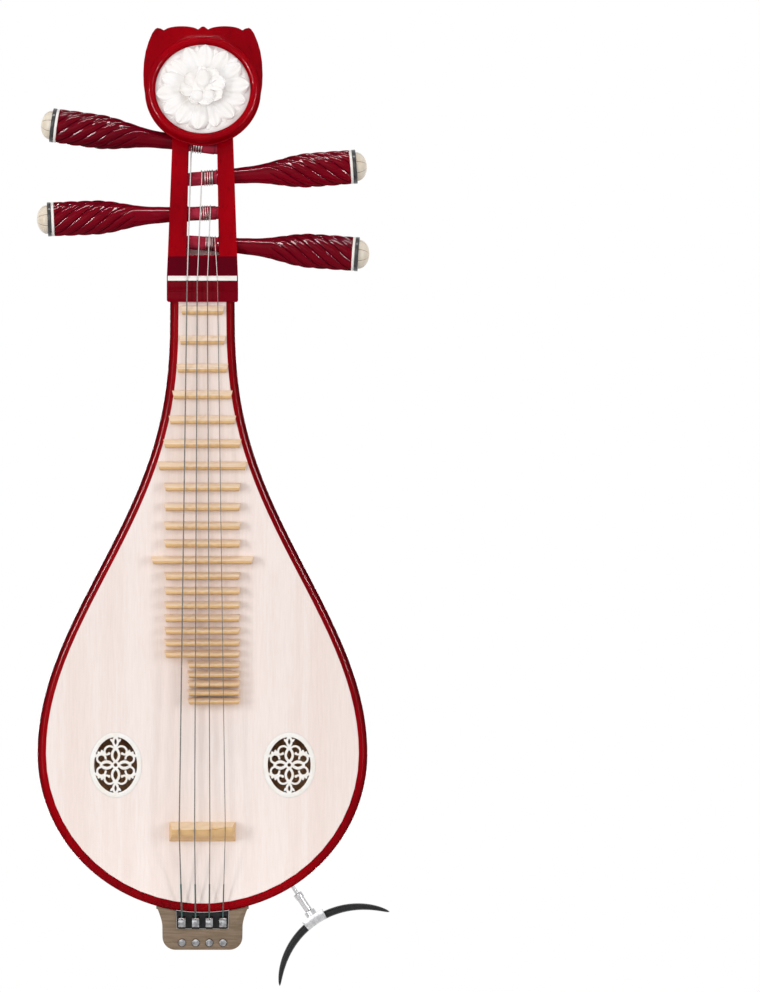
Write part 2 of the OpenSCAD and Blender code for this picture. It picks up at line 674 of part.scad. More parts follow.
module pegbox() {
    color("darkred") union() {
        difference() {
            intersection() {
                at_board() along_x(2 * pegbox_w) polygon([
                    [-foot_proud, neck_end_z], [-foot_proud, nut_z + nut_t / 2],
                    [-foot_proud + 2, nut_z + nut_t / 2],
                    side_point(0, ramp_s), side_point(0, pegbox_l),
                    side_point(pegbox_d, pegbox_l), side_point(pegbox_d, foot_back_s)]);
                at_head() backwards(-40, 120) polygon([
                    [-outer_half(0), -40], [outer_half(0), -40], [outer_half(0), 0],
                    [outer_half(pegbox_l), pegbox_l], [-outer_half(pegbox_l), pegbox_l], [-outer_half(0), 0]]);
            }
            at_head() backwards(-20, 80) polygon([
                [-slot_half(slot_s), slot_s], [slot_half(slot_s), slot_s],
                [slot_half(pegbox_l + 5), pegbox_l + 5], [-slot_half(pegbox_l + 5), pegbox_l + 5]]);
            at_board() translate([0, -foot_proud, nut_z]) cube([2 * pegbox_w, 4, nut_t], center = true);
            at_board() translate([0, -foot_proud, groove_z]) cube([2 * pegbox_w, 1, 1], center = true);
            at_board() backwards(-foot_proud - 1, 2 * pegbox_d) for (side = [0, 1]) mirror([side, 0])
                translate([outer_half(0) - corner_in, neck_end_z + corner_in]) difference() {
                    translate([0, -2 * foot_corner]) square(2 * foot_corner);
                    circle(foot_corner);
                }
            for (i = [0 : n_strings - 1]) at_peg(i) {
                cylinder(r = peg_near_r + peg_play, h = pegbox_w);
                translate([0, 0, -slot_half(peg_s(i)) - peg_blind])
                    cylinder(r = peg_far_r + peg_play, h = slot_half(peg_s(i)) + peg_blind);
            }
        }
        tenon();
    }
}

module tenon() {
    reach = neck_w / 2 - rim_w - ledge_w - glue_gap;
    half = [for (i = [0 : n_hollow]) hollow_curve(90 * i / n_hollow, reach, tenon_d - glue_gap)];
    other = [for (i = [n_hollow - 1 : -1 : 0]) [-half[i][0], half[i][1]]];
    at_board() translate([0, 0, neck_end_z - tenon_l + 2 * mortise_step + glue_gap])
        linear_extrude(tenon_l - 2 * mortise_step - glue_gap + 2) polygon(concat(half, other));
}

module nut() {
    top = -nut_h;
    color("white") at_board() along_x(pegbox_w - 1.4) polygon([
        [2 - foot_proud, nut_edge_z], [top, nut_edge_z], [top, nut_edge_z + 0.8],
        [top + nut_t - 0.8, nut_edge_z + nut_t], [2 - foot_proud, nut_edge_z + nut_t]]);
}

module back_plate() {
    low = foot_back_s + 0.5;
    high = low + plate_back_l;
    w = plate_back_w / 2;
    corner = 5;
    sag = 5;
    bow_r = (w * w + sag * sag) / (2 * sag);
    bow_a = asin(w / bow_r);
    color("ivory") at_head() backwards(pegbox_d, plate_back_t) polygon(concat(
        arc(0, low + bow_r, bow_r, -90 - bow_a, -90 + bow_a, 12),
        arc(w - corner - 0.8, high - corner, corner, 0, 90, 6),
        arc(corner + 0.8 - w, high - corner, corner, 90, 180, 6)));
}

// Depth of the carved back of the head across its width, over the valley line
function carve(x) = let (a = abs(x), half = block_head_w / 2, edge = half - 0.7 * ridge_w,
                         mid = (edge + ridge_w / 2) / 2, lobe = edge - mid)
    a < ridge_w / 2 ? ridge_h * sqrt(1 - pow(2 * a / ridge_w, 2))
    : a > edge ? 0.6 * ridge_h * sin(90 * min(1, (a - edge) / (0.6 * ridge_w)))
    : barrel_h * sqrt(max(0, 1 - pow((a - mid) / lobe, 2)));
n_carve = 52;
// Height and length of the hollows between barrels and cheeks
blend_d = head_back_d - pegbox_d + barrel_h / 2;
blend_l = 9;
carve_x = [for (k = [0 : n_carve]) block_head_w * (k / n_carve - 0.5)];

// Right half of the outline of the edge behind the frame, from the side of the frame up to the horn,
// as shares of the frame's radius and of the horn's height
horn_edge = [[1, 0], [1.027, 0.13], [1.034, 0.28], [1.025, 0.46], [0.995, 0.63], [0.945, 0.78],
             [0.885, 0.91], [0.83, 0.98], [0.79, 1]];

flower_edge = frame_r - frame_step - frame_w;
// The rim behind the frame, and how far it stands over the block
barrel_edge = 1;
rim_step = 0.15;
module head_scroll() {
    bend_d = head_back_d - head_bend_r;
    bend_s = head_top_s - head_bend_r;
    half = block_head_w / 2;
    horn = head_top_s + 0.6 * ridge_h - disc_s;
    edge = [for (e = horn_edge) [e[0] * frame_r, e[1] * horn]];
    inner = [[half - 0.7 * ridge_w, head_top_s - disc_s]];
    right = concat(edge, inner);
    left = [for (k = [len(right) - 1 : -1 : 0]) [-right[k][0], right[k][1]]];
    color("darkred") at_head() union() {
        // Round frame with its rounded edge and the floor behind the flower
        translate([0, 0, disc_s]) rotate([90, 0, 0]) {
            rotate_extrude() union() {
                translate([flower_edge, 0]) square([frame_w, frame_h - frame_w / 2]);
                translate([flower_edge + frame_w / 2, frame_h - frame_w / 2]) circle(frame_w / 2);
            }
            cylinder(r = flower_edge + frame_w / 2, h = floor_t);
            translate([0, 0, glue_gap]) cylinder(r = frame_r + rim_step, h = barrel_edge + rim_step, $fn = 72);
        }
        // Block that draws in from the frame to the back
        intersection() {
            hull() {
                translate([0, 0, disc_s]) rotate([90, 0, 0]) cylinder(r = frame_r, h = barrel_edge, $fn = 48);
                backwards(0, horn_t) translate([0, disc_s]) polygon(concat(
                    [for (e = edge) if (e[1] < 0.6 * horn) e], [for (e = left) if (e[1] < 0.6 * horn) e]));
                translate([-half, 1, pegbox_l]) cube([block_head_w, bend_d, head_top_s - pegbox_l]);
            }
            translate([-2 * half, -5, pegbox_l]) cube([4 * half, 60, head_top_s - pegbox_l]);
        }
        // Horned edge that frames the block from behind
        backwards(0, horn_t) translate([0, disc_s]) polygon(concat(right, left));
        // Barrels and ridges, over the top, round the bend and down the back
        backwards(1, bend_d - 1) polygon(concat(
            [for (x = carve_x) [x, head_top_s + carve(x)]], [[half, pegbox_l], [-half, pegbox_l]]));
        translate([0, bend_d, bend_s]) rotate([0, -90, 0]) rotate_extrude(angle = 90) polygon(concat(
            [for (x = carve_x) [head_bend_r + carve(x), x]], [[0, half], [0, -half]]));
        translate([0, 0, bend_s]) mirror([0, 0, 1])
            linear_extrude(bend_s - pegbox_l, scale = [block_taper, 1]) polygon(concat(
                [for (x = carve_x) [x, head_back_d + carve(x)]], [[half, bend_d], [-half, bend_d]]));
        // Hollows that lead from the barrels down to the cheeks
        for (side = [-1, 1]) translate([side * (outer_half(pegbox_l) + slot_half(pegbox_l)) / 2, 0, 0])
            along_x(outer_half(pegbox_l) - slot_half(pegbox_l) - 1) polygon(concat(
                [[pegbox_d + glue_gap, pegbox_l]],
                [for (k = [0 : 6]) let (q = 90 * k / 6)
                 [pegbox_d + glue_gap + 0.4 + blend_d * (1 - sin(q)),
                  pegbox_l - blend_l * (1 - cos(q)) + 0.1]],
                [[pegbox_d + glue_gap, pegbox_l - blend_l]]));
    }
}

module head_flower() {
    r = flower_edge - glue_gap;
    color("white") at_head() translate([0, -floor_t, disc_s]) rotate([90, 0, 0]) {
        cylinder(r = r, h = flower_t);
        petals(8, 0.64 * r, 0.3 * r, 0.35 * flower_h, 0);
        petals(5, 0.36 * r, 0.28 * r, 0.65 * flower_h, 90);
        petals(1, 0, 0.28 * r, flower_h, 0);
    }
}

// A ring of domes that stand for the petals, each a cap of a ball
module petals(count, ring, w, h, turn) {
    ball = (w * w + h * h) / (2 * h);
    for (k = [0 : count - 1]) rotate(turn + 360 * k / count)
        translate([ring, 0, flower_t]) intersection() {
            translate([0, 0, h - ball]) sphere(ball);
            translate([0, 0, -flower_t / 2]) cylinder(r = 2 * ball, h = h + flower_t);
        }
}

// A handle grows from its waist to its full width over this length
waist_l = 8;
grow_l = 46;
module peg(i) {
    inner = slot_half(peg_s(i));
    outer = outer_half(peg_s(i)) / cos(peg_tilt[i]);
    end = outer + handle_l;
    waist_r = peg_near_r + 0.45;
    grow = [for (k = [0 : 12]) let (q = k / 12)
            [waist_r + (handle_r - waist_r) * (1 - cos(180 * q)) / 2, outer + waist_l + grow_l * q]];
    color("firebrick") at_peg(i) difference() {
        rotate_extrude() polygon(concat(
            [[0, -inner - peg_blind + 0.5], [peg_far_r, -inner - peg_blind + 0.5], [peg_far_r, 1.6 - inner],
             [peg_mid_r, 1.6 - inner], [peg_mid_r, inner - 1.2], [peg_near_r, inner - 0.6],
             [peg_near_r, outer + 1.5]],
            grow,
            [[handle_r, end - 6], [handle_end_r, end], [tip_r, end],
             [tip_r, tip_end(end)], [0, tip_end(end)]]));
        // Hole that takes the end of the string
        translate([peg_side[i] * bend_r(i), 0, turn_end(i)]) rotate([90, 0, 0])
            cylinder(r = turn_d(i) / 2 + 0.15, h = 3 * peg_mid_r, center = true, $fn = 24);
    }
}

function tip_end(end) = end + collar_t + ring_t + 0.5 * cap_l;
function handle_end(i) = outer_half(peg_s(i)) / cos(peg_tilt[i]) + handle_l;

module peg_ring(i) {
    color("black") at_peg(i) translate([0, 0, handle_end(i) + collar_t]) difference() {
        cylinder(r = handle_end_r + 0.2, h = ring_t);
        translate([0, 0, -1]) cylinder(r = tip_r + peg_play, h = ring_t + 2);
    }
}

module peg_cap(i) {
    base = handle_end(i) + collar_t + ring_t;
    n = 12;
    color("ivory") at_peg(i) {
        translate([0, 0, handle_end(i)]) difference() {
            cylinder(r = handle_end_r, h = collar_t);
            translate([0, 0, -1]) cylinder(r = tip_r + peg_play, h = collar_t + 2);
        }
        translate([0, 0, base]) difference() {
            rotate_extrude() polygon(concat([[0, 0]], [for (k = [0 : n]) let (q = 90 * k / n)
                [cap_r * pow(cos(q), 0.8), cap_l * sin(q)]]));
            translate([0, 0, -1]) cylinder(r = tip_r + peg_play, h = 1 + 0.5 * cap_l + peg_play);
        }
    }
}

module string(k) { color("silver") tube(string_path(k), thick(k) / 2, 8, [1, 0, 0]); }
module winding(i) { color("silver") at_head() tube(turn_path(i), turn_d(i) / 2, 6, peg_axis(i)); }

arm_steps = 6;
// How much narrower the window is at its lower end, on each side
window_taper = 0.6;
module tail_plate() {
    w = tail_w / 2;
    top = tail_top_w / 2;
    // One arm with its flare, from the bottom corner to the body and back to the window
    arm = concat(
        arc(w - tail_corner, tail_corner, tail_corner, -90, 0, 8),
        [for (k = [1 : 6]) let (q = k / 6) [w + (top - w) * (1 - cos(90 * q)),
                                            tail_bar_h + (bottom_edge(top) - glue_gap - tail_bar_h) * q]],
        [for (k = [1 : arm_steps]) let (x = top + (window_w / 2 - top) * k / arm_steps)
         [x, bottom_edge(x) - glue_gap]],
        [[window_w / 2 - window_taper, tail_bar_h]]);
    color("tan") at_board() difference() {
        union() {
            backwards(tail_set, tail_t)
                polygon(concat(arm, [for (k = [len(arm) - 1 : -1 : 0]) [-arm[k][0], arm[k][1]]]));
            for (side = [-1, 1]) backwards(tail_set, flange_d) flange(side);
        }
        for (k = [0 : n_strings - 1]) translate([spread(k, hook_pitch), tail_set + tail_t / 2, rivet_z])
            rotate([90, 0, 0]) cylinder(r = rivet_r + glue_gap, h = 3 * tail_t, center = true);
        for (side = [-1, 1]) at_screw(side) cylinder(r = screw_r + glue_gap, h = 6 * tail_t, center = true);
    }
}

module flange(side) {
    edge = [for (k = [0 : arm_steps]) let (x = window_w / 2 + (tail_top_w - window_w) / 2 * k / arm_steps)
            [side * x, bottom_edge(x) - glue_gap]];
    polygon(concat(edge, [for (k = [arm_steps : -1 : 0]) edge[k] - [0, tail_t]]));
}

screw_x = (window_w + tail_top_w) / 4;
// On the seat of a flange, square to it, with the way into the body up
module at_screw(side) {
    steep = atan((bottom_edge(screw_x + 0.5) - bottom_edge(screw_x - 0.5)));
    translate([side * screw_x, tail_set + tail_t + (flange_d - tail_t) / 2, bottom_edge(screw_x) - glue_gap])
        rotate([0, -side * steep, 0]) children();
}

module tail_screws() {
    color("silver") at_board() for (side = [-1, 1]) at_screw(side) {
        translate([0, 0, -tail_t]) cylinder(r = screw_r, h = tail_t + screw_l);
        translate([0, 0, -tail_t - 1.4]) cylinder(r = 2 * screw_r, h = 1.2);
        translate([0, 0, -tail_t - 0.6]) cylinder(r = screw_r, h = 1);
    }
}

// Pad that fills the window, with a notch for the bend of each hook
fill_t = 1.4;
fill_under = 5.7;
notch_room = 0.3;
module tail_pad() {
    low = tail_bar_h + glue_gap;
    side = window_w / 2 - glue_gap;
    edge = [for (k = [0 : arm_steps]) let (x = side - 2 * side * k / arm_steps)
            [x, bottom_edge(x) - 2 * glue_gap]];
    color("black") at_board() backwards(tail_set + (tail_t - fill_t) / 2, fill_t) difference() {
        polygon(concat([[window_taper - side, low], [side - window_taper, low]], edge));
        for (k = [0 : n_strings - 1])
            translate([spread(k, hook_pitch) - hook_w / 2 - notch_room, tail_bar_h + fill_under])
                square([hook_w + 2 * notch_room, tail_drop]);
    }
}

module tail_hooks() {
    back = tail_set + tail_t + glue_gap;
    front = hook_front_y - front_y;
    top = tail_bar_h + 9;
    curl = (back + hook_t - front + hook_t) / 2;
    mid = (back + front) / 2;
    color("gainsboro") at_board() for (k = [0 : n_strings - 1]) translate([spread(k, hook_pitch), 0, 0]) {
        along_x(hook_w) union() {
            translate([back, rivet_z - rivet_head_r]) square([hook_t, top - rivet_z + rivet_head_r - curl]);
            translate([mid, top - curl]) intersection() {
                difference() {
                    circle(curl);
                    circle(curl - hook_t);
                }
                translate([-2 * curl, 0]) square([4 * curl, 2 * curl]);
            }
            translate([mid - curl, top - curl - 3]) square([hook_t, 3]);
        }
        translate([0, back + hook_t / 2, rivet_z]) rotate([90, 0, 0])
            cylinder(r = rivet_r, h = back + hook_t / 2 - tail_set + 1);
        translate([0, tail_set - glue_gap, rivet_z]) rotate([90, 0, 0])
            cylinder(r1 = rivet_head_r, r2 = rivet_head_r - 0.6, h = 1.4);
    }
}

module leg_socket() {
    color("khaki") at_leg() difference() {
        union() {
            translate([0, 0, socket_end - socket_l]) cylinder(r = socket_r, h = socket_l - 1);
            translate([0, 0, socket_end - 1]) cylinder(r = socket_r - 0.8, h = 1);
        }
        translate([0, 0, socket_end - socket_l + 2]) cylinder(r = rod_r + leg_play, h = socket_l);
    }
}

leg_reach = 1 / norm([2 * sin(leg_angle) / body_w, cos(leg_angle) / bowl_drop]);
socket_end = bowl_reach(leg_reach, leg_depth) + socket_proud;
sleeve_start = socket_end + rod_bare;
rod_grip = 10;
module leg_rod() {
    start = socket_end - socket_l + 2 + glue_gap;
    color("silver") at_leg() translate([0, 0, start]) cylinder(r = rod_r, h = sleeve_start + rod_grip - start);
}

module leg_sleeve() {
    color("silver") at_leg() difference() {
        union() {
            translate([0, 0, sleeve_start]) cylinder(r = sleeve_r, h = sleeve_l);
            translate([0, 0, sleeve_start]) cylinder(r = sleeve_r + 0.5, h = 4);
            translate([0, 0, sleeve_start]) cylinder(r = spigot_r, h = sleeve_l + spigot_l);
        }
        translate([0, 0, sleeve_start - 1]) cylinder(r = rod_r + leg_play, h = sleeve_l + spigot_l);
    }
}

boss_l = spigot_l + 1.2;
saddle_start = sleeve_start + sleeve_l + wrap_gap;
pad_centre = saddle_start + boss_l + pad_t / 2 + glue_gap + pad_curve;

// Turns a shape drawn as radius and width round the centre of the pad's curve
module on_curve(half_angle) {
    at_leg() translate([0, 0, pad_centre]) rotate([90, 0, 0]) rotate(-90 - half_angle)
        rotate_extrude(angle = 2 * half_angle, $fn = 128) children();
}

module leg_saddle() {
    seat = pad_curve + pad_t / 2 + glue_gap;
    half = pad_w / 2 + glue_gap;
    color("silver") difference() {
        union() {
            on_curve(saddle_half_angle) {
                translate([seat, -half - saddle_t]) square([saddle_t, 2 * half + 2 * saddle_t]);
                for (low = [-half - saddle_t, half])
                    translate([seat - pad_t, low]) square([pad_t + saddle_t, saddle_t]);
            }
            at_leg() translate([0, 0, saddle_start]) cylinder(r = spigot_r + 2, h = boss_l - 0.4);
        }
        at_leg() translate([0, 0, saddle_start - 1]) cylinder(r = spigot_r + leg_play, h = spigot_l + 1);
    }
}

module leg_pad() {
    round_r = pad_t / 2;
    color("black") on_curve(pad_half_angle) translate([pad_curve, 0]) union() {
        square([pad_t, pad_w - pad_t], center = true);
        for (side = [-1, 1]) translate([0, side * (pad_w / 2 - round_r)]) circle(round_r);
    }
}

back_shell();
soundboard();
bars();
sound_post();
tail_block();
rosette_left();
rosette_right();
pegbox();
head_scroll();
head_flower();
nut();
back_plate();
bridge();
tail_plate();
tail_hooks();
tail_screws();
tail_pad();
leg_socket();
leg_rod();
leg_sleeve();
leg_saddle();
leg_pad();
for (i = [0 : n_strings - 1]) {
    peg(i);
    peg_ring(i);
    peg_cap(i);
    string(i);
    winding(i);
}
for (n = [1 : first_upper - 1])
    fret(n);
frets_upper();
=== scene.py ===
"""Looks of a small pear-shaped lute: lacquered back and pegbox, pale soundboard, bamboo frets,
twisted pegs, a carved flower head, strings with their turns on the pegs, and a curved leg rest.

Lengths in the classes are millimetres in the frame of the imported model; meshes are made in metres.
"""

from __future__ import annotations

import json
import logging
from dataclasses import dataclass, replace
from enum import Enum
from math import acos, atan2, copysign, cos, hypot, pi, radians, sin, sqrt
from typing import Any, Sequence

import bmesh
import bpy
from mathutils import Matrix, Vector

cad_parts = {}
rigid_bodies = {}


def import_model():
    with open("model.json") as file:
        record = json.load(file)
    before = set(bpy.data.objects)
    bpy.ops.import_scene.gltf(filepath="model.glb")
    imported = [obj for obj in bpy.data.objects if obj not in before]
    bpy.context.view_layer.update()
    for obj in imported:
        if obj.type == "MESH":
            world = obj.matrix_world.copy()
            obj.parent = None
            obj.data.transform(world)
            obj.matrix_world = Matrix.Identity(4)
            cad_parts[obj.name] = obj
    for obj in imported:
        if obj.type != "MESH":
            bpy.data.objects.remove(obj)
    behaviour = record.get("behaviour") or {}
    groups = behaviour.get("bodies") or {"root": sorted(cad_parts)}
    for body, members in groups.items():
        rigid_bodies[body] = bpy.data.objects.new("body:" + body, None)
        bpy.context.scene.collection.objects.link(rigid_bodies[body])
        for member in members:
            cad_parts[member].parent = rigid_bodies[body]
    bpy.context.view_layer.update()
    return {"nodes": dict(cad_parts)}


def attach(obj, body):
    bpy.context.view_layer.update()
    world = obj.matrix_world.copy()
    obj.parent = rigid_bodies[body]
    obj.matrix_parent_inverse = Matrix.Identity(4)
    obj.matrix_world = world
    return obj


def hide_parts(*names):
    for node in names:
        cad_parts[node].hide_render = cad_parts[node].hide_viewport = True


LOG = logging.getLogger("lute")
MM = 0.001
MERGE_M = 1e-7
QUARTER = pi / 2
STRINGS = 4
ROOT = "instrument"
UPWARD = "upward"
Colour = tuple[float, float, float]
Triple = tuple[float, float, float]
Pair = tuple[float, float]
Row = list[Vector]
Piece = bpy.types.Object
Material = bpy.types.Material
NodeMap = dict[str, Piece]


def even(value: float) -> Triple:
    """The same value on all three axes or in all three colours."""
    return (value, value, value)


class Grain(Enum):
    """The row axis along which a wood's grain runs."""

    ACROSS = 0
    LENGTH = 2

    def stretch(self, fine: float, slow: float) -> Triple:
        """Scale of a pattern with fine repeats per metre across the grain and slow ones along it."""
        return tuple(slow if axis == self.value else fine for axis in range(3))


class NodeWork:
    """A node tree, with short ways to add and join its nodes."""

    def __init__(self, tree: bpy.types.NodeTree) -> None:
        """Keeps the tree that the nodes go in."""
        self.tree = tree

    def feed(self, socket: bpy.types.NodeSocket, value: Any) -> None:
        """Joins another node's output to an input, or sets the input to a constant.

        Args:
            socket: the input.
            value: the output or the constant, where a colour has no alpha.
        """
        if isinstance(value, bpy.types.NodeSocket):
            self.tree.links.new(value, socket)
        else:
            socket.default_value = (*value, 1.0) if socket.type == "RGBA" else value

    def add(self, kind: str, inputs: dict[str | int, Any] | None = None, **settings: Any) -> Any:
        """Adds a node.

        Args:
            kind: the node's type.
            inputs: outputs to join or constants to set, by the input's name or number.
            settings: the node's properties.

        Returns:
            The new node.
        """
        node = self.tree.nodes.new(kind)
        for name, value in settings.items():
            setattr(node, name, value)
        for key, value in (inputs or {}).items():
            self.feed(node.inputs[key], value)
        return node

    def math(self, operation: str, *values: Any) -> Any:
        """The output of a Math node over some values."""
        return self.add("ShaderNodeMath", dict(enumerate(values)), operation=operation).outputs[0]

    def seen(self, *rays: str) -> Any:
        """1 for some kinds of ray and 0 for all others.

        Args:
            rays: the names of the kinds, as the Light Path node has them.

        Returns:
            The value socket.
        """
        path = self.add("ShaderNodeLightPath").outputs
        found = path[rays[0]]
        for ray in rays[1:]:
            found = self.math("MAXIMUM", found, path[ray])
        return found


class ShaderTree(NodeWork):
    """A material's node tree, with the patterns that the finishes share."""

    def __init__(self, name: str) -> None:
        """Starts a material with a plain shader.

        Args:
            name: the material's name.
        """
        self.material = bpy.data.materials.new(name)
        self.material.use_nodes = True
        super().__init__(self.material.node_tree)
        self.shader = self.tree.nodes["Principled BSDF"]

    def shade(self, **values: Any) -> Material:
        """Sets or joins the shader's own sockets.

        Args:
            values: constants or outputs, by the socket's name in lower case with _ for a space.

        Returns:
            The finished material.
        """
        sockets = {s.name.lower().replace(" ", "_"): s for s in self.shader.inputs}
        for name, value in values.items():
            self.feed(sockets[name], value)
        return self.material

    def place(self, scale: Triple) -> Any:
        """Object coordinates as a vector socket, with a scale in repeats per metre."""
        coords = self.add("ShaderNodeTexCoord").outputs["Object"]
        return self.add("ShaderNodeMapping", {"Vector": coords, "Scale": scale}).outputs["Vector"]

    def noise(self, scale: Triple, detail: float = 4.0, rough: float = 0.55, warp: float = 0.0) -> Any:
        """Noise over Object coordinates.

        Args:
            scale: repeats per metre on each axis.
            detail: octaves.
            rough: share that each octave keeps.
            warp: distortion.

        Returns:
            The value socket.
        """
        inputs = {"Vector": self.place(scale), "Scale": 1.0, "Detail": detail, "Roughness": rough,
                  "Distortion": warp}
        return self.add("ShaderNodeTexNoise", inputs).outputs["Fac"]

    def ramp(self, value: Any, *stops: tuple[float, Colour]) -> Any:
        """Colours along a value.

        Args:
            value: the socket that drives the ramp.
            stops: two places and their colours.

        Returns:
            The colour socket.
        """
        node = self.add("ShaderNodeValToRGB", {"Fac": value})
        for step, (place, colour) in zip(node.color_ramp.elements, stops):
            step.position = place
            step.color = (*colour, 1.0)
        return node.outputs["Color"]

    def share(self, value: Any, *stops: Pair) -> Any:
        """A grey along a value, by two places and their levels, as a socket."""
        return self.ramp(value, *((place, even(level)) for place, level in stops))

    def blend(self, share: Any, first: Any, second: Any, way: str = "MIX") -> Any:
        """Mixes two colours.

        Args:
            share: a socket or a constant.
            first: the colour under the other.
            second: the colour over it.
            way: the blend type.

        Returns:
            The colour socket.
        """
        inputs = {0: share, 6: first, 7: second}
        return self.add("ShaderNodeMix", inputs, data_type="RGBA", blend_type=way).outputs[2]

    def between(self, value: Any, low: float, high: float, start: float = 0.0, end: float = 1.0) -> Any:
        """Maps a value to a range.

        Args:
            value: the socket.
            low: the result at the start.
            high: the result at the end.
            start: the value that gives the first result.
            end: the value that gives the last result.

        Returns:
            The value socket.
        """
        inputs = {"Value": value, "From Min": start, "From Max": end, "To Min": low, "To Max": high}
        return self.add("ShaderNodeMapRange", inputs).outputs["Result"]

    def bump(self, height: Any, strength: float, depth_mm: float) -> Any:
        """The normal of a relief from a height, a strength from 0 to 1 and a depth, as a socket."""
        inputs = {"Height": height, "Strength": strength, "Distance": depth_mm * MM}
        return self.add("ShaderNodeBump", inputs).outputs["Normal"]


@dataclass(frozen=True)
class Finish:
    """A finish whose material is made once and shared."""

    name: str

    def material(self) -> Material:
        """The finish's material, made on first use."""
        found = bpy.data.materials.get(self.name)
        return found if found else self.make()

    def make(self) -> Material:
        """Builds the material."""
        raise NotImplementedError


@dataclass(frozen=True)
class Lacquer(Finish):
    """Clear gloss lacquer over stained wood with dark grain.

    A piece may have painted shade on its walls and level faces, or on sides that turn away from a light from
    above and behind. The gloss is an even, weak coat, so that no edge burns white at a grazing angle.
    """

    bright: Colour = (0.34, 0.0, 0.004)
    deep: Colour = (0.2, 0.0, 0.004)
    line: Colour = (0.07, 0.0, 0.002)
    grain: Grain = Grain.LENGTH
    cloud: Pair = (26.0, 5.0)
    fibre: Pair = (420.0, 7.0)
    ripple: float = 90.0
    streak: float = 1.0
    shine: float = 0.012
    coat_ior: float = 2.6
    rough: float = 0.08
    # Painted shade for the pegbox: colours for faces that look up and for walls that stand straight.
    shelf_shade: Colour | None = None
    wall_shade: Colour | None = None
    # Painted shade for the back: a colour for sides turned from a light above and behind, and the way to that
    # light.
    flank_shade: Colour | None = None
    light_way: Triple = (0.0, 0.9, 0.43)

    def stained(self, tree: ShaderTree, wood: Any) -> Any:
        """Paints shade on faces by the way they look.

        Args:
            tree: the material's tree.
            wood: the colour socket of the plain wood.

        Returns:
            The colour socket.
        """
        # Painted shade: faces turned sideways to a light from above and behind darken, so the back's sides
        # and bottom look shaded.
        if self.flank_shade:
            normal = tree.add("ShaderNodeTexCoord").outputs["Normal"]
            facing = tree.add("ShaderNodeVectorMath", {0: normal, 1: self.light_way}, operation="DOT_PRODUCT")
            level = tree.math("ABSOLUTE", facing.outputs["Value"])
            wood = tree.blend(tree.share(level, (0.3, 1.0), (0.88, 0.0)), wood, self.flank_shade)
        # Painted shade: walls that stand straight and faces that look up take darker colours, for the shade
        # on the pegbox.
        if self.shelf_shade and self.wall_shade:
            lift = tree.add("ShaderNodeAttribute", attribute_name=UPWARD).outputs["Fac"]
            wall = tree.share(tree.math("ABSOLUTE", lift), (0.12, 1.0), (0.26, 0.0))
            wood = tree.blend(wall, wood, self.wall_shade)
            wood = tree.blend(tree.share(lift, (0.42, 0.0), (0.52, 1.0)), wood, self.shelf_shade)
        return wood

    def make(self) -> Material:
        """Builds the stained wood, its painted shade and its gloss.

        Returns:
            The material.
        """
        tree = ShaderTree(self.name)
        cloud = tree.noise(self.grain.stretch(*self.cloud), detail=3.0)
        body = tree.ramp(cloud, (0.3, self.deep), (0.62, self.bright))
        fibre = tree.noise(self.grain.stretch(*self.fibre), detail=5.0, rough=0.6, warp=0.4)
        wood = tree.blend(tree.share(fibre, (0.56, 0.0), (0.7, self.streak)), body, self.line)
        ripple = tree.noise(even(self.ripple), detail=2.0)
        return tree.shade(
            base_color=self.stained(tree, wood), normal=tree.bump(ripple, 0.04, 0.25), roughness=self.rough,
            specular_ior_level=0.0, coat_weight=self.shine, coat_ior=self.coat_ior,
            coat_roughness=self.rough)


@dataclass(frozen=True)
class PaleBoard(Finish):
    """Pale soft wood with straight growth lines and a thin satin finish."""

    light: Colour = (0.89, 0.785, 0.745)
    dark: Colour = (0.85, 0.73, 0.68)
    thread: Colour = (0.95, 0.94, 0.93)
    growth: Pair = (60.0, 1.6)
    fibre: Pair = (700.0, 45.0)

    def make(self) -> Material:
        """Builds the growth lines, the fine fibre and the satin.

        Returns:
            The material.
        """
        tree = ShaderTree(self.name)
        broad = tree.noise(Grain.LENGTH.stretch(*self.growth), detail=3.0, warp=0.6)
        body = tree.ramp(broad, (0.34, self.dark), (0.6, self.light))
        fine = tree.noise(Grain.LENGTH.stretch(*self.fibre), rough=0.65)
        fibre = tree.ramp(fine, (0.35, self.thread), (0.62, even(1.0)))
        return tree.shade(
            base_color=tree.blend(1.0, body, fibre, "MULTIPLY"), normal=tree.bump(fine, 0.12, 0.15),
            roughness=tree.between(fine, 0.42, 0.58), specular_ior_level=0.3)


@dataclass(frozen=True)
class Bamboo(Finish):
    """Bamboo or plain wood with fibres along one axis, and a paler crown colour on faces that look up, partly
    cut flesh and partly painted light from above.
    """

    light: Colour
    dark: Colour
    fleck: Colour
    grain: Grain = Grain.ACROSS
    growth: Pair = (260.0, 14.0)
    fibre: Pair = (1700.0, 55.0)
    crown: Colour | None = None
    gloss: float = 0.5

    def make(self) -> Material:
        """Builds the fibres, the flecks, the crown of partly painted light, and the satin.

        Returns:
            The material.
        """
        tree = ShaderTree(self.name)
        broad = tree.noise(self.grain.stretch(*self.growth))
        body = tree.ramp(broad, (0.32, self.dark), (0.56, self.light))
        fine = tree.noise(self.grain.stretch(*self.fibre), detail=3.0, rough=0.6)
        shown = tree.blend(tree.share(fine, (0.62, 0.0), (0.78, 0.75)), body, self.fleck)
        # Partly real, partly painted light: faces that look up take the paler crown colour, as cut bamboo
        # flesh and as light from above.
        if self.crown:
            lift = tree.add("ShaderNodeAttribute", attribute_name=UPWARD).outputs["Fac"]
            pale = tree.ramp(fine, (0.4, self.crown), (0.75, self.light))
            shown = tree.blend(tree.share(lift, (0.25, 0.0), (0.6, 1.0)), shown, pale)
        return tree.shade(
            base_color=shown, normal=tree.bump(fine, 0.16, 0.12), roughness=tree.between(fine, 0.34, 0.5),
            specular_ior_level=self.gloss)


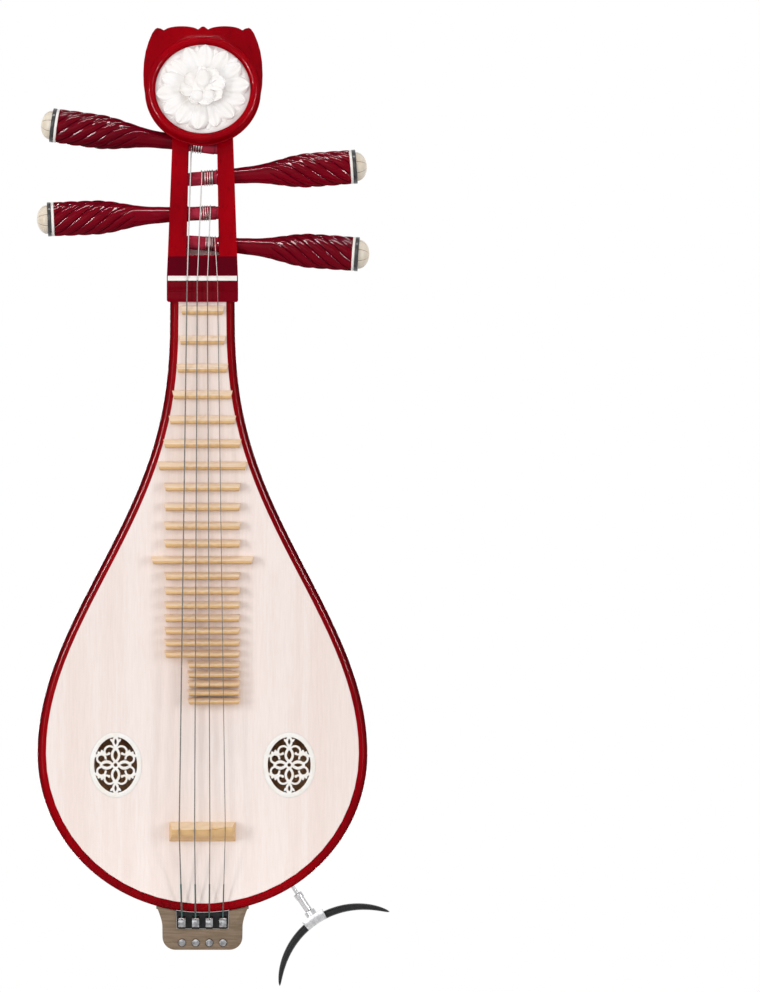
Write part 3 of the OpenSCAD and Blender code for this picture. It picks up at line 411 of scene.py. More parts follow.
@dataclass(frozen=True)
class Bone(Finish):
    """White to ivory polished bone with faint clouds."""

    light: Colour
    warm: Colour
    low: float = 0.4
    high: float = 0.25
    cloud: float = 110.0
    pores: float = 1300.0

    def make(self) -> Material:
        """Builds the clouds, the pores and the polish.

        Returns:
            The material.
        """
        tree = ShaderTree(self.name)
        cloud = tree.noise(even(self.cloud), detail=5.0, rough=0.6)
        pores = tree.noise(even(self.pores), detail=2.0)
        return tree.shade(
            base_color=tree.ramp(cloud, (0.3, self.warm), (0.6, self.light)),
            normal=tree.bump(pores, 0.05, 0.08), roughness=tree.between(cloud, self.low, self.high),
            specular_ior_level=0.4)


@dataclass(frozen=True)
class Metal(Finish):
    """Metal with fine brushing or wear in its gloss."""

    tone: Colour
    shade: Colour
    low: float
    high: float
    scale: Triple = (400.0, 400.0, 400.0)

    def make(self) -> Material:
        """Builds the tone, its wear and the gloss.

        Returns:
            The material.
        """
        tree = ShaderTree(self.name)
        wear = tree.noise(self.scale, rough=0.6)
        return tree.shade(
            base_color=tree.ramp(wear, (0.35, self.shade), (0.6, self.tone)),
            normal=tree.bump(wear, 0.1, 0.05), roughness=tree.between(wear, self.low, self.high),
            metallic=1.0)


@dataclass(frozen=True)
class Moulded(Finish):
    """Plastic, rubber or thread in one colour with a fine grain."""

    tone: Colour
    lift: Colour
    low: float
    high: float
    scale: float = 900.0
    gloss: float = 0.5

    def make(self) -> Material:
        """Builds the colour and its grain.

        Returns:
            The material.
        """
        tree = ShaderTree(self.name)
        grain = tree.noise(even(self.scale), detail=3.0)
        return tree.shade(
            base_color=tree.ramp(grain, (0.35, self.tone), (0.7, self.lift)),
            normal=tree.bump(grain, 0.08, 0.1), roughness=tree.between(grain, self.low, self.high),
            specular_ior_level=self.gloss)


@dataclass(frozen=True)
class Finishes:
    """All finishes of the instrument."""

    # Painted shade on the back's sides and bottom.
    back: Finish = Lacquer("red_lacquer_back", bright=(0.3, 0.0, 0.003), deep=(0.17, 0.0, 0.003),
                           flank_shade=(0.05, 0.0, 0.002), streak=0.65, rough=0.12)
    carved: Finish = Lacquer("red_lacquer_carved", streak=0.35)
    # Painted shade on the pegbox's walls and ramp.
    pegbox: Finish = Lacquer("red_lacquer_pegbox", shelf_shade=(0.1, 0.0, 0.006), wall_shade=(0.17, 0.0, 0.006),
                             streak=0.35)
    handle: Finish = Lacquer("red_lacquer_handle", bright=(0.2, 0.0, 0.008), deep=(0.11, 0.0, 0.006),
                             grain=Grain.ACROSS, streak=0.3, shine=0.018)
    # Painted shade: near-black lacquer in the valleys between the peg's ribs.
    flute: Finish = Lacquer("red_lacquer_flute", bright=(0.06, 0.0, 0.004), deep=(0.035, 0.0, 0.003),
                            grain=Grain.ACROSS, streak=0.2, shine=0.004)
    shaft: Finish = Bamboo("stained_peg_wood", light=(0.42, 0.032, 0.062), dark=(0.28, 0.015, 0.03),
                           fleck=(0.14, 0.006, 0.012), gloss=0.0)
    board: Finish = PaleBoard("pale_soundboard")
    # Partly real, partly painted light: frets and bridge are paler on faces that look up, as cut bamboo flesh
    # and as light from above.
    fret: Finish = Bamboo("bamboo_fret", light=(0.72, 0.45, 0.2), dark=(0.58, 0.33, 0.12),
                          fleck=(0.38, 0.2, 0.07), crown=(0.83, 0.67, 0.53))
    bridge: Finish = Bamboo("bamboo_bridge", light=(0.72, 0.46, 0.21), dark=(0.64, 0.38, 0.16),
                            fleck=(0.42, 0.22, 0.08), crown=(0.82, 0.63, 0.44))
    # Painted light: the inner wood's colour is lifted, to stand in for light that hardly reaches inside the
    # hollow.
    raw: Finish = Bamboo("raw_inner_wood", light=(0.9, 0.5, 0.25), dark=(0.78, 0.41, 0.19),
                         fleck=(0.4, 0.2, 0.08), grain=Grain.LENGTH)
    white: Finish = Bone("white_bone", light=(0.89, 0.87, 0.84), warm=(0.84, 0.79, 0.72))
    flower: Finish = Bone("carved_white", light=(0.9, 0.88, 0.87), warm=(0.87, 0.83, 0.79), low=0.52,
                          high=0.37)
    ivory: Finish = Bone("ivory_cap", light=(0.82, 0.74, 0.62), warm=(0.74, 0.62, 0.48))
    black: Finish = Moulded("black_ring", (0.02, 0.02, 0.022), (0.035, 0.035, 0.038), 0.12, 0.22)
    seam: Finish = Moulded("dark_seam", (0.1, 0.06, 0.035), (0.16, 0.1, 0.06), 0.35, 0.5)
    pad: Finish = Moulded("black_pad", (0.012, 0.012, 0.013), (0.022, 0.022, 0.024), 0.34, 0.5, gloss=0.15)
    socket: Finish = Moulded("cream_socket", (0.72, 0.6, 0.4), (0.8, 0.7, 0.52), 0.25, 0.35)
    silk: Finish = Moulded("green_thread", (0.012, 0.04, 0.035), (0.05, 0.15, 0.13), 0.5, 0.7, scale=2500.0)
    # Painted shade: the strings over the board wear a dark, dull copy of their steel, for their shaded sides
    # and shadows.
    steel: Finish = Moulded("string_dark", (0.1, 0.095, 0.09), (0.2, 0.19, 0.18), 0.4, 0.55)
    shiny: Finish = Metal("string_shiny", (0.62, 0.6, 0.58), (0.5, 0.48, 0.46), 0.3, 0.45,
                          scale=(900.0, 900.0, 1500.0))
    satin: Finish = Metal("champagne_satin", (0.19, 0.14, 0.1), (0.14, 0.1, 0.068), 0.36, 0.5,
                          scale=(60.0, 900.0, 900.0))
    hook: Finish = Metal("hook_steel", (0.34, 0.34, 0.35), (0.16, 0.16, 0.17), 0.16, 0.3)
    bright: Finish = Metal("bright_plate", (0.56, 0.56, 0.57), (0.42, 0.42, 0.43), 0.12, 0.24)


KIT = Finishes()


def link(obj: Piece) -> Piece:
    """Puts an object in the scene and returns it."""
    bpy.context.scene.collection.objects.link(obj)
    return obj


def paint(piece: Piece, *finishes: Finish) -> Piece:
    """Gives a piece its finishes, in the order of its material indices, and returns it."""
    for finish in finishes:
        piece.data.materials.append(finish.material())
    return piece


def mount(piece: Piece, body: str, node: str = "") -> Piece:
    """Sets a piece on its body.

    Args:
        piece: the piece.
        body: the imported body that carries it.
        node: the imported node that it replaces, if there is one.

    Returns:
        The piece.
    """
    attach(piece, body)
    if node:
        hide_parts(node)
    return piece


def fill_in(modifier: bpy.types.NodesModifier, **values: Any) -> None:
    """Sets a modifier's inputs through their sockets' identifiers.

    Args:
        modifier: the modifier, with its tree.
        values: the inputs, by name in lower case.
    """
    for item in modifier.node_group.interface.items_tree:
        if item.in_out == "INPUT" and item.name.lower() in values:
            modifier[item.identifier] = values[item.name.lower()]


class GeometryTree(NodeWork):
    """A Geometry Nodes tree with named inputs."""

    def __init__(self, name: str, **inputs: str) -> None:
        """Starts a tree.

        Args:
            name: the tree's name.
            inputs: the kinds of its inputs after the geometry, by name.
        """
        super().__init__(bpy.data.node_groups.new(name, "GeometryNodeTree"))
        face = self.tree.interface
        for title, kind in {"Geometry": "Geometry", **inputs}.items():
            face.new_socket(name=title, in_out="INPUT", socket_type="NodeSocket" + kind)
        face.new_socket(name="Geometry", in_out="OUTPUT", socket_type="NodeSocketGeometry")
        self.ask = self.add("NodeGroupInput").outputs

    def end(self, geometry: Any) -> None:
        """Hands on the tree's result."""
        self.add("NodeGroupOutput", {"Geometry": geometry})

    def close(self, geometry: Any) -> None:
        """Ends the tree in plain, smooth geometry with the material that its input names.

        Args:
            geometry: the socket with the instances.
        """
        real = self.add("GeometryNodeRealizeInstances", {"Geometry": geometry}).outputs[0]
        smooth = self.add("GeometryNodeSetShadeSmooth", {"Geometry": real}).outputs[0]
        dyed = self.add("GeometryNodeSetMaterial", {"Geometry": smooth, "Material": self.ask["Material"]})
        self.end(dyed.outputs[0])

    def run(self, name: str, source: Piece, **values: Any) -> Piece:
        """Runs the tree on an object and keeps the result as a plain mesh.

        Args:
            name: the new piece's name.
            source: the object that the tree starts from, which is removed.
            values: the inputs, by name in lower case.

        Returns:
            The new piece.
        """
        modifier = source.modifiers.new(name, "NODES")
        modifier.node_group = self.tree
        fill_in(modifier, **values)
        graph = bpy.context.evaluated_depsgraph_get()
        mesh = bpy.data.meshes.new_from_object(source.evaluated_get(graph))
        mesh.name = name
        bpy.data.objects.remove(source)
        return link(bpy.data.objects.new(name, mesh))


def solid(name: str, points: Sequence[Vector], faces: Sequence[Sequence[int]], sharp: float = 60.0,
          tags: Sequence[int] | None = None) -> Piece:
    """Makes a closed, smooth mesh from points in millimetres.

    Args:
        name: the object's name.
        points: the points in millimetres, in the row frame.
        faces: the faces as indices.
        sharp: edges that turn by more than this many degrees stay sharp.
        tags: a material index for each face.

    Returns:
        The object, with doubles merged and faces turned outwards.
    """
    mesh = bpy.data.meshes.new(name)
    mesh.from_pydata([Vector(p) * MM for p in points], [], [list(f) for f in faces])
    if tags is not None:
        mesh.polygons.foreach_set("material_index", list(tags))
    work = bmesh.new()
    work.from_mesh(mesh)
    bmesh.ops.remove_doubles(work, verts=work.verts, dist=MERGE_M)
    bmesh.ops.recalc_face_normals(work, faces=work.faces)
    work.to_mesh(mesh)
    work.free()
    mesh.polygons.foreach_set("use_smooth", [True] * len(mesh.polygons))
    mesh.set_sharp_from_angle(angle=radians(sharp))
    return link(bpy.data.objects.new(name, mesh))


def loft(rows: Sequence[Row], wrap: bool = True, caps: bool = True) -> tuple[Row, list[list[int]]]:
    """Joins rows of points of one length into a skin.

    Args:
        rows: the rows, in order.
        wrap: whether each row is a closed ring.
        caps: whether the first and the last row are closed by a face.

    Returns:
        The points and the faces.
    """
    count = len(rows[0])
    points = [p for row in rows for p in row]
    faces: list[list[int]] = []
    for i in range(len(rows) - 1):
        for j in range(count if wrap else count - 1):
            k = (j + 1) % count
            faces.append([i * count + j, i * count + k, (i + 1) * count + k, (i + 1) * count + j])
    if caps:
        last = (len(rows) - 1) * count
        faces.append(list(range(count))[::-1])
        faces.append([last + j for j in range(count)])
    return points, faces


def angles(count: int) -> list[float]:
    """Angles evenly round a circle, in radians."""
    return [2 * pi * k / count for k in range(count)]


def quarter(steps: int) -> list[float]:
    """Angles from 0 to a right angle in even steps, in radians."""
    return [QUARTER * k / steps for k in range(steps + 1)]


def within(value: float) -> float:
    """A value held between 0 and 1."""
    return min(1.0, max(0.0, value))


@dataclass(frozen=True)
class Layout:
    """Sizes that the pieces share, as the solids have them."""

    front_y: float = -7.0
    widest_z: float = 138.0
    neck_end_z: float = 455.4
    nut_z: float = 472.0
    nut_edge_z: float = 470.25
    bridge_z: float = 84.25
    lean: float = 20.0
    head_set: float = 2.0
    slot_start: float = 14.0
    slot_run: float = 115.0
    slot_half: float = 11.5
    slot_taper: float = 1.9
    cheek_run: float = 129.0
    cheek_half: float = 25.0
    cheek_taper: float = 4.4

    def head(self, x: float, d: float, s: float) -> Vector:
        """A point of the pegbox frame: across, depth behind the cheeks, height over the nut."""
        c, n = cos(radians(self.lean)), sin(radians(self.lean))
        return Vector((x, self.front_y + self.head_set + d * c + s * n, self.nut_z - d * n + s * c))

    def head_way(self, x: float, d: float, s: float) -> Vector:
        """A direction of the pegbox frame in the row frame."""
        return self.head(x, d, s) - self.head(0.0, 0.0, 0.0)


LAY = Layout()


@dataclass
class CadDress:
    """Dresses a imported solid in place: merged, rounded edges, smooth faces and a finish."""

    finish: Finish
    round_mm: float
    segments: int = 2
    limit: float = 32.0
    flat: float = 0.4
    weld_m: float = 1e-6

    def shading(self) -> bpy.types.NodeTree:
        """The tree that shades faces smooth to sharp edges and notes how far each face looks up.

        Returns:
            The tree, made on first use.
        """
        name = "smooth_to_edges"
        found = bpy.data.node_groups.get(name)
        if found:
            return found
        tree = GeometryTree(name, Angle="Float")
        bare = tree.add("GeometryNodeRemoveAttribute", {
            "Geometry": tree.ask["Geometry"], "Name": "custom_normal"})
        faces = tree.add("GeometryNodeSetShadeSmooth", {"Geometry": bare.outputs[0]}, domain="FACE")
        angle = tree.add("GeometryNodeInputMeshEdgeAngle").outputs["Unsigned Angle"]
        over = tree.add("FunctionNodeCompare", {0: angle, 1: tree.ask["Angle"]}, data_type="FLOAT",
                        operation="GREATER_THAN").outputs["Result"]
        edges = tree.add("GeometryNodeSetShadeSmooth", {
            "Geometry": faces.outputs[0], "Selection": over, "Shade Smooth": False}, domain="EDGE")
        normal = tree.add("GeometryNodeInputNormal").outputs["Normal"]
        lift = tree.add("ShaderNodeSeparateXYZ", {0: normal}).outputs["Z"]
        noted = tree.add("GeometryNodeStoreNamedAttribute", {
            "Geometry": edges.outputs[0], "Name": UPWARD, "Value": lift}, data_type="FLOAT", domain="FACE")
        tree.end(noted.outputs[0])
        return tree.tree

    def put_on(self, node: Piece) -> None:
        """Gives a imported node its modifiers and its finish.

        Args:
            node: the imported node, which stays where it is.
        """
        weld = node.modifiers.new("merge", "WELD")
        weld.merge_threshold = self.weld_m
        if self.round_mm > 0:
            plain = node.modifiers.new("plain_faces", "DECIMATE")
            plain.decimate_type = "DISSOLVE"
            plain.angle_limit = radians(self.flat)
            edge = node.modifiers.new("rounded_edges", "BEVEL")
            edge.width = self.round_mm * MM
            edge.segments = self.segments
            edge.limit_method = "ANGLE"
            edge.angle_limit = radians(self.limit)
        shade = node.modifiers.new("shading", "NODES")
        shade.node_group = self.shading()
        fill_in(shade, angle=radians(self.limit))
        node.data.materials.clear()
        paint(node, self.finish)


@dataclass(frozen=True)
class Station:
    """One half cross section of the back, from its foot on the middle line outwards."""

    foot_z: float
    across: float
    up: float
    reach: float
    rim: float
    depth: float
    hollow: float


@dataclass
class BackShell:
    """The round back with its rim, as a finely stepped skin."""

    body_w: float = 232.0
    bowl_drop: float = 111.5
    neck_run: float = 317.4
    neck_w: float = 45.6
    bowl_depth: float = 54.0
    neck_depth: float = 22.0
    shoulder_power: float = 1.42
    back_power: float = 2.3
    rim_w: float = 6.0
    rim_depth: float = 5.0
    wall: float = 6.0
    ledge_w: float = 4.0
    board_t: float = 4.5
    tenon_l: float = 25.0
    tenon_d: float = 10.0
    chamber_top: float = 333.0
    chamber_fade: float = 45.0
    probe: float = 0.5
    slices: int = 96
    fan: int = 96
    outer_steps: int = 40
    rim_steps: int = 8
    hollow_steps: int = 12
    sharp: float = 38.0

    def swell(self, z: float) -> float:
        """How far a height is from the neck's end to the widest line, from 0 to 1."""
        return (1.0 + cos(pi * (z - LAY.widest_z) / self.neck_run)) / 2.0

    def half_w(self, z: float) -> float:
        """Half the width of the body at a height."""
        return self.neck_w / 2 + (self.body_w - self.neck_w) / 2 * self.swell(z) ** self.shoulder_power

    def depth_at(self, z: float) -> float:
        """Depth of the back at a height."""
        return self.neck_depth + (self.bowl_depth - self.neck_depth) * self.swell(z)

    def hollow_at(self, z: float) -> float:
        """Depth of the hollow at a height.

        Args:
            z: the height.

        Returns:
            The depth under the board, or the mortise's depth near the neck's end.
        """
        if z > LAY.neck_end_z - self.tenon_l:
            return self.tenon_d
        fade = sin(QUARTER * within((self.chamber_top - z) / self.chamber_fade))
        return max(0.0, self.depth_at(z) - self.wall - self.board_t) * fade

    def stations(self) -> list[Station]:
        """Cuts the back into half cross sections.

        Returns:
            The sections, down the left side, round the bowl and up the right side.
        """
        left: list[Station] = []
        for k in range(self.slices + 1):
            z = LAY.neck_end_z - self.neck_run * k / self.slices
            flare = self.half_w(z + self.probe) - self.half_w(z - self.probe)
            rim = self.rim_w * hypot(1.0, flare)
            left.append(Station(z, -1.0, 0.0, self.half_w(z), rim, self.depth_at(z), self.hollow_at(z)))
        bowl: list[Station] = []
        depth = self.bowl_depth
        hollow = depth - self.wall - self.board_t
        for k in range(1, self.fan):
            t = -QUARTER + pi * k / self.fan
            x, z = self.body_w / 2 * sin(t), -self.bowl_drop * cos(t)
            reach = hypot(x, z)
            bowl.append(Station(LAY.widest_z, x / reach, z / reach, reach, self.rim_w, depth, hollow))
        return left + bowl + [replace(station, across=1.0) for station in reversed(left)]

    def oval(self, q: float, side: float, low: float, high: float) -> Pair:
        """Distance and depth on a full oval at an angle from its widest line, between two depths."""
        power = 2.0 / self.back_power
        return side * max(0.0, cos(q)) ** power, low + (high - low) * max(0.0, sin(q)) ** power

    def section(self, at: Station) -> list[tuple[float, float, int]]:
        """One half section from the spine round the rim to the middle of the hollow.

        Args:
            at: where the section is.

        Returns:
            Distance, depth and 1 for the inside, for each point.
        """
        line: list[tuple[float, float, int]] = []
        seat = at.reach - at.rim
        for q in reversed(quarter(self.outer_steps)):
            line.append((*self.oval(q, at.reach, self.rim_depth, at.depth), 0))
        for q in quarter(self.rim_steps)[1:]:
            line.append((seat + at.rim * cos(q), self.rim_depth * (1 - sin(q)), 0))
        line.append((seat, self.board_t, 1))
        for q in quarter(self.hollow_steps):
            line.append((*self.oval(q, seat - self.ledge_w, self.board_t, self.board_t + at.hollow), 1))
        return line

    def build(self) -> Piece:
        """Builds the skin, with lacquer outside and raw wood inside, painted lighter to stand in for light in
        the hollow.

        Returns:
            The back.
        """
        rows: list[Row] = []
        inside: list[int] = []
        for at in self.stations():
            line = self.section(at)
            rows.append([Vector((at.across * r, LAY.front_y + d, at.foot_z + at.up * r))
                         for r, d, _ in line])
            inside = [flag for _, _, flag in line]
        points, faces = loft(rows, wrap=False, caps=False)
        count = len(rows[0])
        tags = [inside[k % (count - 1) + 1] for k in range(len(faces))]
        last = (len(rows) - 1) * count
        faces.append(list(range(count)) + [last + j for j in range(count - 1, -1, -1)])
        tags.append(0)
        return paint(solid("back", points, faces, self.sharp, tags), KIT.back, KIT.raw)

    def dress(self) -> Piece:
        """Builds the back in place of its solid."""
        return mount(self.build(), ROOT, "back_shell")


@dataclass
class Petal:
    """One carved petal with three soft ridges, lying along X from the middle of the flower."""

    length: float
    width: float
    curl: float = -0.12
    drop: float = 3.0
    ridge: float = 0.12
    thick: float = 2.4
    along: int = 20
    across: int = 30
    curl_power: float = 1.2
    foot: float = 0.4
    belly_start: float = 0.1
    belly_run: float = 0.66
    tip_start: float = 0.62
    tip_run: float = 0.385
    tip_power: float = 2.6
    tip_least: float = 0.02
    thin_tip: float = 0.55
    thin_edge: float = 0.5
    ridges: int = 3
    ridge_foot: float = 0.4
    soft_drop: float = 0.4

    def half_width(self, s: float) -> float:
        """Half the width of the petal: a narrow foot, a belly and a round tip.

        Args:
            s: the share of the length.

        Returns:
            Half the width there.
        """
        belly = sin(pi * min(1.0, self.belly_start + self.belly_run * s))
        tip = max(0.0, (s - self.tip_start) / self.tip_run) ** self.tip_power
        return self.width / 2 * (self.foot + (1 - self.foot) * belly) * sqrt(max(self.tip_least, 1.0 - tip))

    def rise(self, s: float, t: float) -> float:
        """Height over the spine at a share of the length and a place across from -1 to 1."""
        ridges = self.ridge * cos(self.ridges * pi * t) * (self.ridge_foot + (1 - self.ridge_foot) * s)
        return ridges - self.drop * (self.soft_drop * t ** 2 + (1 - self.soft_drop) * t ** 4)

    def build(self, name: str) -> Piece:
        """Builds the petal as a closed sheet.

        Args:
            name: the object's name.

        Returns:
            The petal at the origin.
        """
        rows: list[Row] = []
        x = z = 0.0
        step = self.length / self.along
        for i in range(self.along + 1):
            s = i / self.along
            turn = self.curl * s ** self.curl_power
            out = Vector((-sin(turn), 0.0, cos(turn)))
            upper: Row = []
            lower: Row = []
            for j in range(self.across + 1):
                t = 2 * j / self.across - 1
                upper.append(Vector((x, self.half_width(s) * t, z)) + out * self.rise(s, t))
                under = self.thick * (1 - self.thin_tip * s) * (1 - self.thin_edge * t * t)
                lower.append(upper[-1] - out * under)
            rows.append(upper + lower[::-1])
            x += step * cos(turn)
            z += step * sin(turn)
        return solid(name, *loft(rows))


@dataclass
class PetalRing:
    """A ring of like petals, and how they are set round the flower."""

    name: str
    petal: Petal
    count: int
    ring: float
    spin: float
    height: float
    vary: float
    seed: int
    tilt: float = 0.0

    def build(self, tree: GeometryTree) -> Piece:
        """Builds the ring with the tree that sets petals round a ring."""
        return tree.run(
            self.name, self.petal.build("petal_form"), count=self.count, ring=self.ring * MM, tilt=self.tilt,
            spin=self.spin, height=self.height * MM, vary=self.vary, seed=self.seed,
            material=KIT.flower.material())


@dataclass
class Boss:
    """A rounded boss in the middle of the flower, with folds from its foot to its crown."""

    name: str
    at: Pair
    half: Pair
    top: float
    folds: int
    fold_d: float = 0.06
    fold_power: int = 10
    twist: float = 0.35
    blunt: float = 0.36
    up_steps: int = 24
    round_steps: int = 96

    def build(self, base: float) -> Piece:
        """Builds the boss.

        Args:
            base: the height of the disc under it.

        Returns:
            The boss.
        """
        rows: list[Row] = []
        for q in quarter(self.up_steps):
            ring: Row = []
            for a in angles(self.round_steps):
                fold = abs(cos(self.folds / 2 * (a - self.twist * q))) ** self.fold_power
                crease = 1.0 - self.fold_d * fold * sqrt(cos(q))
                r = crease * max(0.0, cos(q)) ** self.blunt
                ring.append(Vector((self.at[0] + self.half[0] * r * cos(a),
                                    self.at[1] + self.half[1] * r * sin(a),
                                    base + (self.top - base) * sin(q))))
            rows.append(ring)
        return paint(solid(self.name, *loft(rows)), KIT.flower)


@dataclass
class FlowerHead:
    """The carved flower in the round frame of the head."""

    radius: float = 33.6
    base: float = 2.5
    edge: float = 0.4
    dish: tuple[Pair, Pair] = ((0.8, 0.5), (0.4, 0.3))
    floor: float = 3.0
    disc_s: float = 140.3
    round_steps: int = 96
    sharp: float = 50.0
    sway: Triple = (1.2, 0.8, 1.0)
    least: float = 0.88
    most: float = 1.06

    def ring_tree(self) -> GeometryTree:
        """The tree that sets petals round a ring, each a little different.

        Returns:
            The tree.
        """
        tree = GeometryTree("petal_ring", Count="Int", Ring="Float", Tilt="Float", Spin="Float",
                            Height="Float", Vary="Float", Seed="Int", Material="Material")
        ask = tree.ask
        circle = tree.add("GeometryNodeMeshCircle", {"Vertices": ask["Count"], "Radius": ask["Ring"]})
        place = tree.add("GeometryNodeInputPosition").outputs["Position"]
        outwards = tree.add("FunctionNodeAlignRotationToVector", {"Vector": place}, axis="X")
        low, high = (
            tree.add("ShaderNodeVectorMath", {0: Vector(self.sway) * sign, "Scale": ask["Vary"]},
                     operation="SCALE").outputs[0] for sign in (-1.0, 1.0))
        shift = tree.add("FunctionNodeRandomValue", {0: low, 1: high, "Seed": ask["Seed"]},
                         data_type="FLOAT_VECTOR")
        lean = tree.add("ShaderNodeCombineXYZ", {"Y": tree.math("MULTIPLY", ask["Tilt"], -1.0)})
        total = tree.add("ShaderNodeVectorMath", {0: lean.outputs[0], 1: shift.outputs[0]}, operation="ADD")
        turned = tree.add("FunctionNodeEulerToRotation", {0: total.outputs[0]})
        both = tree.add("FunctionNodeRotateRotation", {0: outwards.outputs[0], 1: turned.outputs[0]},
                        rotation_space="LOCAL")
        size = tree.add("FunctionNodeRandomValue", {2: self.least, 3: self.most, "Seed": ask["Seed"]},
                        data_type="FLOAT")
        grow = tree.add("GeometryNodeInstanceOnPoints", {
            "Points": circle.outputs["Mesh"], "Instance": ask["Geometry"], "Rotation": both.outputs[0],
            "Scale": size.outputs[1]})
        spin = tree.add("ShaderNodeCombineXYZ", {"Z": ask["Spin"]})
        rise = tree.add("ShaderNodeCombineXYZ", {"Z": ask["Height"]})
        move = tree.add("GeometryNodeTransform", {
            "Geometry": grow.outputs["Instances"], "Translation": rise.outputs[0],
            "Rotation": spin.outputs[0]})
        tree.close(move.outputs["Geometry"])
        return tree

    def disc(self) -> Piece:
        """The disc that the petals are carved from, dished by depths at shares of its radius.

        Returns:
            The disc at the origin.
        """
        profile = [(0.0, 0.0), (self.radius, 0.0), (self.radius, self.base - self.edge),
                   (self.radius - self.edge, self.base)]
        profile += [(self.radius * share, self.base - deep) for share, deep in self.dish]
        profile.append((0.0, self.base))
        rows = [[Vector((r * cos(a), r * sin(a), z)) for a in angles(self.round_steps)]
                for r, z in profile]
        return paint(solid("flower_disc", *loft(rows, caps=False), self.sharp), KIT.flower)

    def build(self) -> list[Piece]:
        """Builds the disc, the bosses and the rings of petals in the head's frame.

        Returns:
            The pieces, the disc first.
        """
        bosses = (
            Boss("flower_core", at=(0.0, 0.0), half=(9.0, 9.0), top=8.6, folds=8),
            Boss("flower_bud", at=(0.0, 5.6), half=(5.8, 8.6), top=11.0, folds=5),
            Boss("flower_lobe_left", at=(-4.0, -7.4), half=(5.4, 5.4), top=11.0, folds=5),
            Boss("flower_lobe_right", at=(4.0, -7.4), half=(5.4, 5.4), top=11.0, folds=5),
        )
        rings = (
            PetalRing("flower_outer", Petal(21.5, 13.8, drop=1.8, ridge=0.3), count=14, ring=10.4, spin=0.12,
                      height=5.6, vary=0.09, seed=3),
            PetalRing("flower_under", Petal(21.5, 9.6, curl=-0.05, drop=2.4), count=14, ring=10.4, spin=0.34,
                      height=3.8, vary=0.06, seed=5),
            PetalRing("flower_inner", Petal(12.0, 11.0, curl=0.25, drop=-1.3, ridge=0.2), count=8, ring=4.5,
                      spin=0.2, height=7.4, vary=0.08, seed=7, tilt=0.08),
        )
        tree = self.ring_tree()
        pieces = [self.disc()]
        pieces += [boss.build(self.base) for boss in bosses]
        pieces += [ring.build(tree) for ring in rings]
        across, up, out = LAY.head_way(1, 0, 0), LAY.head_way(0, 0, 1), LAY.head_way(0, -1, 0)
        turn = Matrix((across, up, out)).transposed().to_4x4()
        turn.translation = LAY.head(0.0, -self.floor, self.disc_s) * MM
        for piece in pieces:
            piece.data.transform(turn)
        return pieces

    def dress(self) -> list[Piece]:
        """Builds the flower in place of its solid.

        Returns:
            The pieces, the disc first.
        """
        disc, *carving = self.build()
        mount(disc, ROOT, "head_flower")
        return [disc] + [mount(piece, ROOT) for piece in carving]


class TubeMaker:
    """Makes round tubes along paths, with one tree for all of them."""

    def __init__(self, sides: int = 12) -> None:
        """Builds the tree that sweeps a round section along a line of points.

        Args:
            sides: how many sides the section has.
        """
        self.sides = sides
        self.sweep = GeometryTree("tube_along_path", Radius="Float", Sides="Int", Material="Material")
        ask, add = self.sweep.ask, self.sweep.add
        line = add("GeometryNodeMeshToCurve", {"Mesh": ask["Geometry"]})
        ring = add("GeometryNodeCurvePrimitiveCircle", {"Resolution": ask["Sides"], "Radius": ask["Radius"]})
        tube = add("GeometryNodeCurveToMesh", {
            "Curve": line.outputs["Curve"], "Profile Curve": ring.outputs["Curve"], "Fill Caps": True})
        self.sweep.close(tube.outputs["Mesh"])

    def tube(self, name: str, path: Row, thick: float, finish: Finish) -> Piece:
        """A round tube along a path.

        Args:
            name: the piece's name.
            path: the points in millimetres.
            thick: the tube's diameter.
            finish: its finish.

        Returns:
            The tube.
        """
        mesh = bpy.data.meshes.new(name + "_line")
        mesh.from_pydata([p * MM for p in path], [(k, k + 1) for k in range(len(path) - 1)], [])
        line = link(bpy.data.objects.new(name + "_line", mesh))
        return self.sweep.run(name, line, radius=thick / 2 * MM, sides=self.sides,
                              material=finish.material())


class PegFace(Enum):
    """What a face of a peg belongs to, as its material index."""

    HANDLE = 0
    SHAFT = 1
    # Valley faces wear near-black lacquer: painted shade between the ribs.
    VALLEY = 2


class CapFace(Enum):
    """What a face of a peg's end belongs to, as its material index."""

    DOME = 0
    SEAM = 1
    COLLAR = 2


